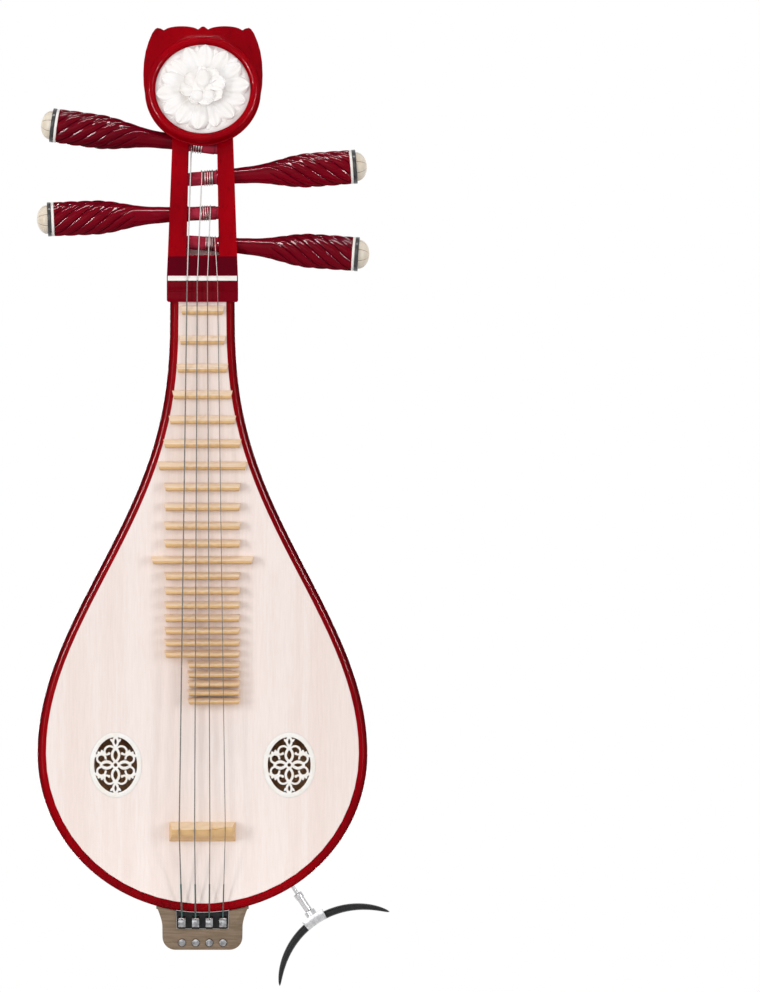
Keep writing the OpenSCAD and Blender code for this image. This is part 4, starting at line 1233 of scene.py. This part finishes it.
@dataclass
class Peg:
    """One tuning peg: shaft, twisted handle, collar and cap, and the turns of its string."""

    number: int
    side: int
    tilt: float
    wrap_x: float
    wrap_way: int
    thick: float
    shift: float = 0.0
    low_s: float = 29.5
    pitch: float = 24.4
    depth: float = 8.5
    near_r: float = 5.45
    mid_r: float = 4.9
    far_r: float = 4.5
    mid_half: float = 3.0
    step_in: float = 1.6
    chamfer: Pair = (1.2, 0.6)
    blind: float = 7.0
    end_gap: float = 0.5
    cheek_gap: float = 1.0
    handle_l: float = 81.5
    handle_r: float = 12.2
    end_r: float = 11.9
    end_l: float = 6.0
    waist_l: float = 8.0
    waist_start: float = 1.5
    waist_rise: float = 0.45
    grow_l: float = 46.0
    stub_r: float = 4.9
    stub_l: float = 3.0
    collar_t: float = 2.0
    collar_gap: float = 0.05
    collar_edge: float = 0.3
    collar_bore: float = 5.1
    ring_t: float = 2.6
    cap_l: float = 7.4
    cap_r: float = 10.2
    cap_power: float = 0.95
    segments: int = 8
    seam_d: float = 0.2
    seam_power: int = 8
    flutes: int = 8
    twist: float = 0.0785
    flute_d: float = 1.3
    flute_start: float = 20.0
    flute_fade: float = 12.0
    groove_lag: float = 4.0
    rib_power: float = 0.75
    turns: int = 4
    turn_gap: float = 0.9
    turn_start: float = 0.5
    turn_lift: float = 0.05
    turn_bend: float = 1.3
    hole_r: float = 2.0
    lead_lift: float = 0.3
    lead_end: float = 165.0
    round_steps: int = 192
    handle_steps: int = 92
    cap_steps: int = 30
    turn_steps: int = 40
    bend_steps: int = 6
    lead_steps: int = 18
    peg_sharp: float = 50.0
    cap_sharp: float = 45.0
    ring_round: float = 0.35

    @property
    def s(self) -> float:
        """Height of the peg over the nut."""
        return self.low_s + (self.number - 1) * self.pitch + self.shift

    @property
    def axis(self) -> Vector:
        """Direction of the axis in the pegbox frame, as across, depth and height."""
        t = radians(self.tilt)
        return Vector((self.side * cos(t), 0.0, sin(t)))

    @property
    def up(self) -> Vector:
        """Direction square to the axis, upwards, in the pegbox frame."""
        t = radians(self.tilt)
        return Vector((-self.side * sin(t), 0.0, cos(t)))

    @property
    def inner(self) -> float:
        """Half the width of the slot at the peg."""
        return LAY.slot_half - LAY.slot_taper * (self.s - LAY.slot_start) / LAY.slot_run

    @property
    def outer(self) -> float:
        """Distance along the axis at which the handle leaves the cheek."""
        return (LAY.cheek_half - LAY.cheek_taper * self.s / LAY.cheek_run) / cos(radians(self.tilt))

    @property
    def wrap_u(self) -> float:
        """Distance along the axis at which the string comes over the shaft."""
        return self.wrap_x / (self.side * cos(radians(self.tilt)))

    def at(self, u: float, r: float, q: float) -> Vector:
        """A point round the peg.

        Args:
            u: distance along the axis.
            r: distance from the axis.
            q: angle from the front over the top, in radians.

        Returns:
            The point in the row frame.
        """
        p = Vector((0.0, self.depth, self.s)) + self.axis * u + self.up * (r * sin(q))
        p += Vector((0.0, -1.0, 0.0)) * (r * cos(q))
        return LAY.head(p.x, p.y, p.z)

    def ring(self, u: float, r: float, turn: float = 0.0) -> Row:
        """A plain ring round the axis, turned by an angle."""
        return [self.at(u, r, a - turn) for a in angles(self.round_steps)]

    def handle_radius(self, v: float) -> float:
        """Radius of the handle at a distance from the cheek.

        Args:
            v: the distance.

        Returns:
            The radius over the ribs.
        """
        waist_r = self.near_r + self.waist_rise
        end = v - self.handle_l + self.end_l
        if v < self.waist_l:
            t = max(0.0, (v - self.waist_start) / (self.waist_l - self.waist_start))
            return self.near_r + self.waist_rise * t
        if end < 0:
            q = min(1.0, (v - self.waist_l) / self.grow_l)
            return waist_r + (self.handle_r - waist_r) * (1 - cos(pi * q)) / 2
        return self.handle_r + (self.end_r - self.handle_r) * end / self.end_l

    def fluted(self, v: float) -> Row:
        """A ring of the twisted part, with rounded ribs between sharp valleys.

        Args:
            v: distance from the cheek.

        Returns:
            The ring, turned so that its points follow the ribs.
        """
        radius = self.handle_radius(v)
        t = within((v - self.flute_start) / self.flute_fade)
        cut = self.flute_d * (t * t * (3.0 - 2.0 * t)) * radius / self.handle_r
        ring: Row = []
        for k, a in enumerate(angles(self.round_steps)):
            rib = abs(sin(pi * self.flutes * k / self.round_steps)) ** self.rib_power
            ring.append(self.at(self.outer + v, radius - cut * (1.0 - rib), a - self.twist * v))
        return ring

    def peg_face(self, face: int, shaft_rows: int) -> int:
        """Which part of the peg a face belongs to.

        Args:
            face: the face's number in the skin.
            shaft_rows: how many rows of points the shaft has.

        Returns:
            The material index.
        """
        row, gap = face // self.round_steps, self.round_steps // self.flutes
        if row < shaft_rows - 2:
            return PegFace.SHAFT.value
        v = self.handle_l * (row - shaft_rows) / self.handle_steps
        grooved = self.flute_start + self.groove_lag < v < self.handle_l
        valley = face % self.round_steps % gap in (0, gap - 1)
        return PegFace.VALLEY.value if grooved and valley else PegFace.HANDLE.value

    def build_peg(self) -> Piece:
        """Builds the shaft and the twisted handle, with painted shade in the valleys between its ribs.

        Returns:
            The peg.
        """
        end = -self.inner - self.blind + self.end_gap
        step = self.step_in - self.inner
        shaft = (
            (end, 0.0), (end, self.far_r), (step, self.far_r), (step, self.mid_r),
            (-self.mid_half, self.mid_r), (self.mid_half, self.mid_r),
            (self.inner - self.chamfer[0], self.mid_r), (self.inner - self.chamfer[1], self.near_r),
            (self.outer - self.cheek_gap, self.near_r))
        rows = [self.ring(u, r) for u, r in shaft]
        rows += [self.fluted(self.handle_l * k / self.handle_steps) for k in range(self.handle_steps + 1)]
        stub = self.outer + self.handle_l
        tip = stub + self.collar_t + self.stub_l
        last = self.twist * self.handle_l
        rows += [self.ring(u, r, last) for u, r in ((stub, self.stub_r), (tip, self.stub_r), (tip, 0.0))]
        points, faces = loft(rows, caps=False)
        tags = [self.peg_face(k, len(shaft)) for k in range(len(faces))]
        peg = solid(f"peg_turned_{self.number}", points, faces, self.peg_sharp, tags)
        return paint(peg, KIT.handle, KIT.shaft, KIT.flute)

    def build_cap(self) -> Piece:
        """Builds the collar and the dome with its thin dark lines and its dark button.

        Returns:
            The cap.
        """
        start = self.outer + self.handle_l
        low, high = start + self.collar_gap, start + self.collar_t - self.collar_gap
        edge = self.collar_edge
        collar = [self.ring(u, r) for u, r in (
            (low, self.collar_bore), (low, self.end_r - edge), (low + edge, self.end_r),
            (high - edge, self.end_r), (high, self.end_r - edge), (high, self.collar_bore))]
        points, faces = loft(collar + collar[:1], caps=False)
        tags = [CapFace.COLLAR.value] * len(faces)
        base = start + self.collar_t + self.ring_t
        gap = self.round_steps // self.segments
        dome = [self.ring(base, 0.0)]
        for q in quarter(self.cap_steps):
            radius = self.cap_r * max(0.0, cos(q)) ** self.cap_power
            ring: Row = []
            for k, a in enumerate(angles(self.round_steps)):
                off = abs((k + 0.5) % gap - gap / 2) / (gap / 2)
                dent = self.seam_d * off ** self.seam_power * sqrt(cos(q))
                ring.append(self.at(base + self.cap_l * sin(q), max(0.0, radius - dent), a))
            dome.append(ring)
        more, skin = loft(dome, caps=False)
        for k in range(len(skin)):
            button = k // self.round_steps > self.cap_steps - 2
            seam = k % self.round_steps % gap == gap - 1
            tags.append(CapFace.SEAM.value if button or seam else CapFace.DOME.value)
        faces += [[i + len(points) for i in face] for face in skin]
        cap = solid(f"peg_dome_{self.number}", points + more, faces, self.cap_sharp, tags)
        return paint(cap, KIT.ivory, KIT.seam, KIT.white)

    def turn_path(self) -> Row:
        """The run of the string's turns, from beside its wrap to the hole in the shaft.

        Returns:
            The points of the run.
        """
        way = self.wrap_way * self.side
        start = self.wrap_u + way * (self.thick + self.turn_start)
        pitch = self.thick + self.turn_gap
        radius = self.mid_r + self.turn_lift + self.thick / 2
        up = LAY.head_way(*self.up)
        path = [self.at(start, radius, pi) + up * self.thick]
        for k in range(self.turns * self.turn_steps + 1):
            u = start + way * pitch * k / self.turn_steps
            path.append(self.at(u, radius, pi + 2 * pi * k / self.turn_steps))
        end = start + way * pitch * self.turns
        bend = self.turn_bend * self.thick
        for q in quarter(self.bend_steps)[1:]:
            path.append(self.at(end, radius - bend * (1 - cos(q)), pi) - up * (bend * sin(q)))
        path.append(self.at(end, self.hole_r, pi) - up * bend)
        return path

    def string_end(self, nut: Vector) -> Row:
        """The string's way from the nut over the shaft.

        Args:
            nut: where the string leaves the nut.

        Returns:
            The points round the shaft.
        """
        radius = self.mid_r + self.lead_lift + self.thick / 2
        way = nut - LAY.head(0.0, self.depth, self.s)
        up, fore = way.dot(LAY.head_way(0, 0, 1)), way.dot(LAY.head_way(0, -1, 0))
        first = atan2(up, fore) + acos(radius / hypot(up, fore))
        last = radians(self.lead_end)
        return [self.at(self.wrap_u, radius, first + (last - first) * j / self.lead_steps)
                for j in range(self.lead_steps + 1)]

    def dress(self, tubes: TubeMaker, nodes: NodeMap) -> list[Piece]:
        """Builds the peg's pieces in place of their solids.

        Args:
            tubes: the maker of tubes along a path.
            nodes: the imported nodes.

        Returns:
            The new pieces.
        """
        n = self.number
        peg, cap = self.build_peg(), self.build_cap()
        coil = tubes.tube(f"turns_{n}", self.turn_path(), self.thick, KIT.shiny)
        for piece, node, slot in (
                (peg, "peg", "lacquered_wood"), (cap, "peg_cap", "bone"), (coil, "winding", "string_steel")):
            mount(piece, f"peg_{n}_body", f"{node}_{n}")
        CadDress(KIT.black, self.ring_round).put_on(nodes[f"peg_ring_{n}"])
        return [peg, cap, coil]


@dataclass
class StringSet:
    """The strings with their silk ends, as tubes along their run."""

    nut_pitch: float = 7.1
    bridge_pitch: float = 10.8
    hook_pitch: float = 9.6
    nut_h: float = 5.7
    nut_over: float = 0.4
    bridge_h: float = 14.0
    hook_z: float = 22.8
    hook_y: float = -6.0
    hook_t: float = 1.2
    gap: float = 0.05
    silk_l: float = 24.0
    silk_start: float = 0.2
    silk_more: float = 0.35
    silk_steps: int = 6

    def path(self, peg: Peg) -> Row:
        """The run of the string that goes to a peg: hook, bridge, nut, peg.

        Args:
            peg: the peg.

        Returns:
            The points of the run.
        """
        place = (STRINGS + 1) / 2 - peg.number
        lift = self.gap + peg.thick / 2
        hook = Vector((place * self.hook_pitch, self.hook_y - self.hook_t - lift, self.hook_z))
        bridge = Vector((place * self.bridge_pitch, LAY.front_y - self.bridge_h - lift, LAY.bridge_z))
        nut = Vector((place * self.nut_pitch, LAY.front_y - self.nut_h - lift,
                      LAY.nut_edge_z + self.nut_over))
        return [hook, bridge, nut] + peg.string_end(nut)

    def dress(self, tubes: TubeMaker, pegs: Sequence[Peg]) -> list[Piece]:
        """Builds the strings and their silk ends in place of the solids.

        Args:
            tubes: the maker of tubes along a path.
            pegs: the pegs that the strings go to.

        Returns:
            The new pieces.
        """
        made: list[Piece] = []
        for peg in pegs:
            k = STRINGS + 1 - peg.number
            path = self.path(peg)
            way = (path[1] - path[0]).normalized()
            bound = [path[0] + way * (self.silk_start + j * self.silk_l / self.silk_steps)
                     for j in range(self.silk_steps + 1)]
            # The run over the board takes the dark copy of the steel: painted shade.
            wire = tubes.tube(f"wire_{k}", path[:3], peg.thick, KIT.steel)
            lead = tubes.tube(f"lead_{k}", path[2:], peg.thick, KIT.shiny)
            silk = tubes.tube(f"silk_{k}", bound, peg.thick + self.silk_more, KIT.silk)
            for piece, node in ((wire, f"string_{k}"), (lead, ""), (silk, "")):
                made.append(mount(piece, ROOT, node))
        return made


@dataclass
class LegRest:
    """The curved leg rest, with ends that thin out."""

    angle: float = 34.0
    depth: float = 24.0
    centre: float = 198.91
    curve: float = 57.0
    half_angle: float = 55.0
    thick: float = 5.6
    width: float = 15.0
    end_thick: float = 0.5
    end_width: float = 0.72
    thin_power: float = 2.2
    end_power: int = 9
    flat_power: float = 0.55
    crown_power: float = 0.75
    steps: int = 72
    round_steps: int = 28

    def build(self) -> Piece:
        """Builds the crescent.

        Returns:
            The crescent.
        """
        a = radians(self.angle)
        way = Vector((sin(a), 0.0, -cos(a)))
        side = Vector((cos(a), 0.0, sin(a)))
        middle = Vector((0.0, LAY.front_y + self.depth, LAY.widest_z)) + way * self.centre
        rows: list[Row] = []
        for i in range(self.steps + 1):
            t = 2 * i / self.steps - 1
            q = radians(self.half_angle) * t
            out = -way * cos(q) + side * sin(q)
            end = sqrt(max(0.0, 1.0 - abs(t) ** self.end_power))
            high = self.thick / 2 * (1 - (1 - self.end_thick) * abs(t) ** self.thin_power) * end
            wide = self.width / 2 * (1 - (1 - self.end_width) * t * t) * end
            ring: Row = []
            for b in angles(self.round_steps):
                y = wide * copysign(abs(cos(b)) ** self.flat_power, cos(b))
                r = high * copysign(abs(sin(b)) ** self.crown_power, sin(b))
                ring.append(middle + out * (self.curve + r) + Vector((0.0, y, 0.0)))
            rows.append(ring)
        return paint(solid("leg_crescent", *loft(rows, caps=False)), KIT.pad)

    def dress(self, nodes: NodeMap) -> Piece:
        """Builds the crescent in place of its solid and dresses its fittings.

        Args:
            nodes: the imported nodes.

        Returns:
            The crescent.
        """
        for name, finish, round_mm in (("leg_socket", KIT.socket, 0.3), ("leg_rod", KIT.bright, 0.0),
                                       ("leg_sleeve", KIT.bright, 0.25), ("leg_saddle", KIT.bright, 0.25)):
            CadDress(finish, round_mm).put_on(nodes[name])
        return mount(self.build(), "leg_rest_body", "leg_pad")


@dataclass
class TailPad:
    """The black pad that fills the window of the tail plate, closed round the hooks."""

    low: float = 14.9
    half: float = 18.5
    taper: float = 0.6
    front: float = 6.3
    thick: float = 1.4
    gap: float = 0.2
    steps: int = 24
    sharp: float = 30.0

    def dress(self) -> Piece:
        """Builds the pad in place of its solid.

        Returns:
            The pad.
        """
        shell = BackShell()
        outline = [(self.taper - self.half, self.low), (self.half - self.taper, self.low)]
        for k in range(self.steps + 1):
            x = self.half - 2 * self.half * k / self.steps
            drop = shell.bowl_drop * sqrt(1.0 - (2 * x / shell.body_w) ** 2)
            outline.append((x, LAY.widest_z - drop - self.gap))
        front = LAY.front_y + self.front
        rows = [[Vector((x, y, z)) for x, z in outline] for y in (front, front + self.thick)]
        pad = paint(solid("tail_pad_sheet", *loft(rows), self.sharp), KIT.pad)
        return mount(pad, ROOT, "tail_pad")


@dataclass
class Woodwork:
    """The pieces whose solids already have their shape: board, frets, pegbox, head and fittings."""

    fret_round: float = 0.35

    def dress(self, nodes: NodeMap) -> None:
        """Rounds the edges of the solids and gives them their finishes.

        Args:
            nodes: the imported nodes.
        """
        plan: dict[str, CadDress] = {
            "soundboard": CadDress(KIT.board, 0.0),
            "bars": CadDress(KIT.raw, 0.4),
            "sound_post": CadDress(KIT.raw, 0.3),
            "tail_block": CadDress(KIT.raw, 0.3),
            "rosette_left": CadDress(KIT.white, 0.18),
            "rosette_right": CadDress(KIT.white, 0.18),
            "pegbox": CadDress(KIT.pegbox, 1.1, 4),
            "head_scroll": CadDress(KIT.carved, 0.5, 3, 25.0),
            "nut": CadDress(KIT.white, 0.2),
            "back_plate": CadDress(KIT.white, 0.6, 3),
            "bridge": CadDress(KIT.bridge, 0.4),
            "tail_plate": CadDress(KIT.satin, 0.35, 3),
            "tail_hooks": CadDress(KIT.hook, 0.25),
            "tail_screws": CadDress(KIT.bright, 0.2),
        }
        frets = (name for name in nodes if name.startswith("fret"))
        plan |= {name: CadDress(KIT.fret, self.fret_round) for name in frets}
        for name, dress in plan.items():
            dress.put_on(nodes[name])


@dataclass
class Studio:
    """Camera, floor, world and soft lamps. The floor's radius and the lamps' places are in metres."""

    photo: tuple[int, int] = (760, 992)
    scale: float = 0.7027
    centre_px: Pair = (202.4, 950.0)
    lens: float = 900.0
    sensor: float = 36.0
    soft: float = 0.38
    floor_z: float = -34.0
    floor_r: float = 0.34
    floor_fade: float = 0.4
    floor_glow: float = 0.4
    floor_tone: float = 0.9
    floor_sides: int = 96
    target: Triple = (0.0, 0.02, 0.3)

    def camera(self) -> None:
        """Sets the camera square to the front, framed as the photograph is."""
        data = bpy.data.cameras.new("photo_camera")
        data.sensor_fit = "VERTICAL"
        data.sensor_height = data.sensor_width = self.sensor
        data.lens = self.lens
        data.clip_end = 100.0
        wide, high = self.photo
        x = (wide / 2 - self.centre_px[0]) * self.scale
        z = (self.centre_px[1] - high / 2) * self.scale
        away = high * self.scale * self.lens / self.sensor
        camera = link(bpy.data.objects.new("photo_camera", data))
        camera.location = Vector((x, LAY.front_y - away, z)) * MM
        camera.rotation_euler = (QUARTER, 0.0, 0.0)
        bpy.context.scene.camera = camera

    def world(self) -> None:
        """White to the eye and in mirrors, and a soft even light elsewhere."""
        world = bpy.data.worlds.new("studio")
        bpy.context.scene.world = world
        world.use_nodes = True
        world.node_tree.nodes.clear()
        work = NodeWork(world.node_tree)
        seen = work.seen("Is Camera Ray", "Is Glossy Ray", "Is Transmission Ray")
        soft, white = (
            work.add("ShaderNodeBackground", {"Color": even(1.0), "Strength": strength}).outputs[0]
            for strength in (self.soft, 1.0))
        mix = work.add("ShaderNodeMixShader", {"Fac": seen, 1: soft, 2: white})
        work.add("ShaderNodeOutputWorld", {"Surface": mix.outputs[0]})

    def floor(self) -> None:
        """A white floor under the instrument that keeps its shadow and fades out at its edge."""
        mesh = bpy.data.meshes.new("floor")
        rim = [(self.floor_r * cos(a), self.floor_r * sin(a), self.floor_z * MM)
               for a in angles(self.floor_sides)]
        mesh.from_pydata(rim, [], [list(range(len(rim)))])
        floor = link(bpy.data.objects.new("floor", mesh))
        tree = ShaderTree("white_floor")
        glow = tree.math("MULTIPLY", tree.seen("Is Camera Ray", "Is Glossy Ray"), self.floor_glow)
        far = tree.add("ShaderNodeVectorMath", {0: tree.place(even(1.0))}, operation="LENGTH")
        fade = tree.between(far.outputs["Value"], 1.0, 0.0, self.floor_fade * self.floor_r, self.floor_r)
        mesh.materials.append(tree.shade(
            base_color=even(self.floor_tone), roughness=0.9, specular_ior_level=0.0, emission_color=even(1.0),
            emission_strength=glow, alpha=fade))

    def lamp(self, name: str, place: Triple, size: Pair, power: float) -> Piece:
        """Adds a soft rectangular lamp that faces the instrument.

        Args:
            name: the lamp's name.
            place: where it stands.
            size: its width and height.
            power: its power in watts.

        Returns:
            The lamp.
        """
        data = bpy.data.lights.new(name, "AREA")
        data.shape = "RECTANGLE"
        data.size, data.size_y = size
        data.energy = power
        lamp = link(bpy.data.objects.new(name, data))
        lamp.location = place
        lamp.rotation_mode = "QUATERNION"
        lamp.rotation_quaternion = (Vector(self.target) - Vector(place)).to_track_quat("-Z", "Y")
        return lamp

    def pieces_in(self, name: str, *finishes: Finish) -> bpy.types.Collection:
        """The pieces that wear one of some finishes, as a collection for a lamp.

        Args:
            name: the collection's name.
            finishes: the finishes.

        Returns:
            The collection.
        """
        pieces = bpy.data.collections.new(name)
        names = [finish.name for finish in finishes]
        for obj in bpy.context.scene.objects:
            if any(slot.material and slot.material.name in names for slot in obj.material_slots):
                pieces.objects.link(obj)
        return pieces

    def strip(self, name: str, place: Triple, size: Pair, bright: float,
              pieces: bpy.types.Collection) -> None:
        """Adds an oval strip box that only shows as a mirror image in the gloss of some pieces.

        Args:
            name: the lamp's name.
            place: where it stands.
            size: its width and height.
            bright: how bright its face is, with white at 1.
            pieces: the pieces that mirror it.
        """
        lamp = self.lamp(name, place, size, bright * pi * pi / 4 * size[0] * size[1])
        lamp.data.shape = "ELLIPSE"
        lamp.visible_diffuse = False
        lamp.light_linking.receiver_collection = pieces

    def build(self) -> None:
        """Builds the camera, the world, the floor and the lamps."""
        bpy.context.scene.view_settings.view_transform = "Standard"
        self.camera()
        self.world()
        self.floor()
        for name, place, size, power in (
                ("front_fill", (-0.5, -2.4, 1.1), (1.6, 1.6), 11.0),
                ("front_left", (-1.5, -1.35, 0.45), (0.3, 1.2), 17.0),
                ("front_right", (1.6, -1.25, 0.45), (0.3, 1.2), 12.0),
                ("front_top", (0.0, -0.6, 2.6), (1.2, 0.3), 12.0),
                ("back_left", (-1.2, 1.6, 0.6), (0.3, 1.2), 17.0),
                ("back_right", (1.1, 1.6, 0.6), (0.3, 1.2), 17.0)):
            self.lamp(name, place, size, power).visible_glossy = name.startswith("front")
        head = self.pieces_in("head_gloss", KIT.carved)
        front = self.pieces_in("front_gloss", KIT.back, KIT.carved, KIT.handle)
        rear = self.pieces_in("rear_gloss", KIT.back, KIT.handle)
        handles = self.pieces_in("handle_gloss", KIT.handle)
        for name, place, size, bright, pieces in (
                ("strip_left", (-1.5, -1.35, 1.3), (0.4, 1.3), 200.0, front),
                ("strip_right", (1.6, -1.25, 1.3), (0.3, 1.3), 180.0, front),
                ("strip_back_top", (0.0, 1.3, 1.9), (0.7, 0.3), 150.0, head),
                ("strip_back_left", (-0.55, 1.9, 0.55), (0.5, 2.2), 320.0, rear),
                ("strip_back_right", (0.5, 1.9, 0.55), (0.5, 2.2), 240.0, rear),
                ("strip_top", (0.0, -0.75, 2.6), (1.6, 0.3), 140.0, handles),
                ("strip_top_back", (0.0, 0.95, 2.6), (1.6, 0.3), 140.0, handles)):
            self.strip(name, place, size, bright, pieces)


def main() -> None:
    """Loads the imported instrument, dresses it piece by piece and sets up the studio."""
    logging.basicConfig(level=logging.INFO, format="%(name)s: %(message)s")
    for obj in list(bpy.data.objects):
        bpy.data.objects.remove(obj)
    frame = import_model()
    nodes = frame["nodes"]
    thickest, finer = 0.9, 0.12
    thicks = [thickest - finer * k for k in range(STRINGS)]
    pegs = [
        Peg(1, side=1, tilt=-4.3, wrap_x=8.5, wrap_way=-1, thick=thicks[3]),
        Peg(2, side=-1, tilt=-2.4, wrap_x=5.5, wrap_way=-1, thick=thicks[2], shift=-1.9),
        Peg(3, side=1, tilt=4.7, wrap_x=-0.5, wrap_way=1, thick=thicks[1]),
        Peg(4, side=-1, tilt=8.4, wrap_x=-8.0, wrap_way=1, thick=thicks[0]),
    ]
    tubes = TubeMaker()
    Woodwork().dress(nodes)
    LOG.info("dressed the solids")
    pieces = [BackShell().dress(), TailPad().dress(), *FlowerHead().dress()]
    for peg in pegs:
        pieces += peg.dress(tubes, nodes)
    pieces += StringSet().dress(tubes, pegs)
    pieces.append(LegRest().dress(nodes))
    for piece in pieces:
        LOG.info("built %s", piece.name)
    Studio().build()


if __name__ == "__main__":
    main()
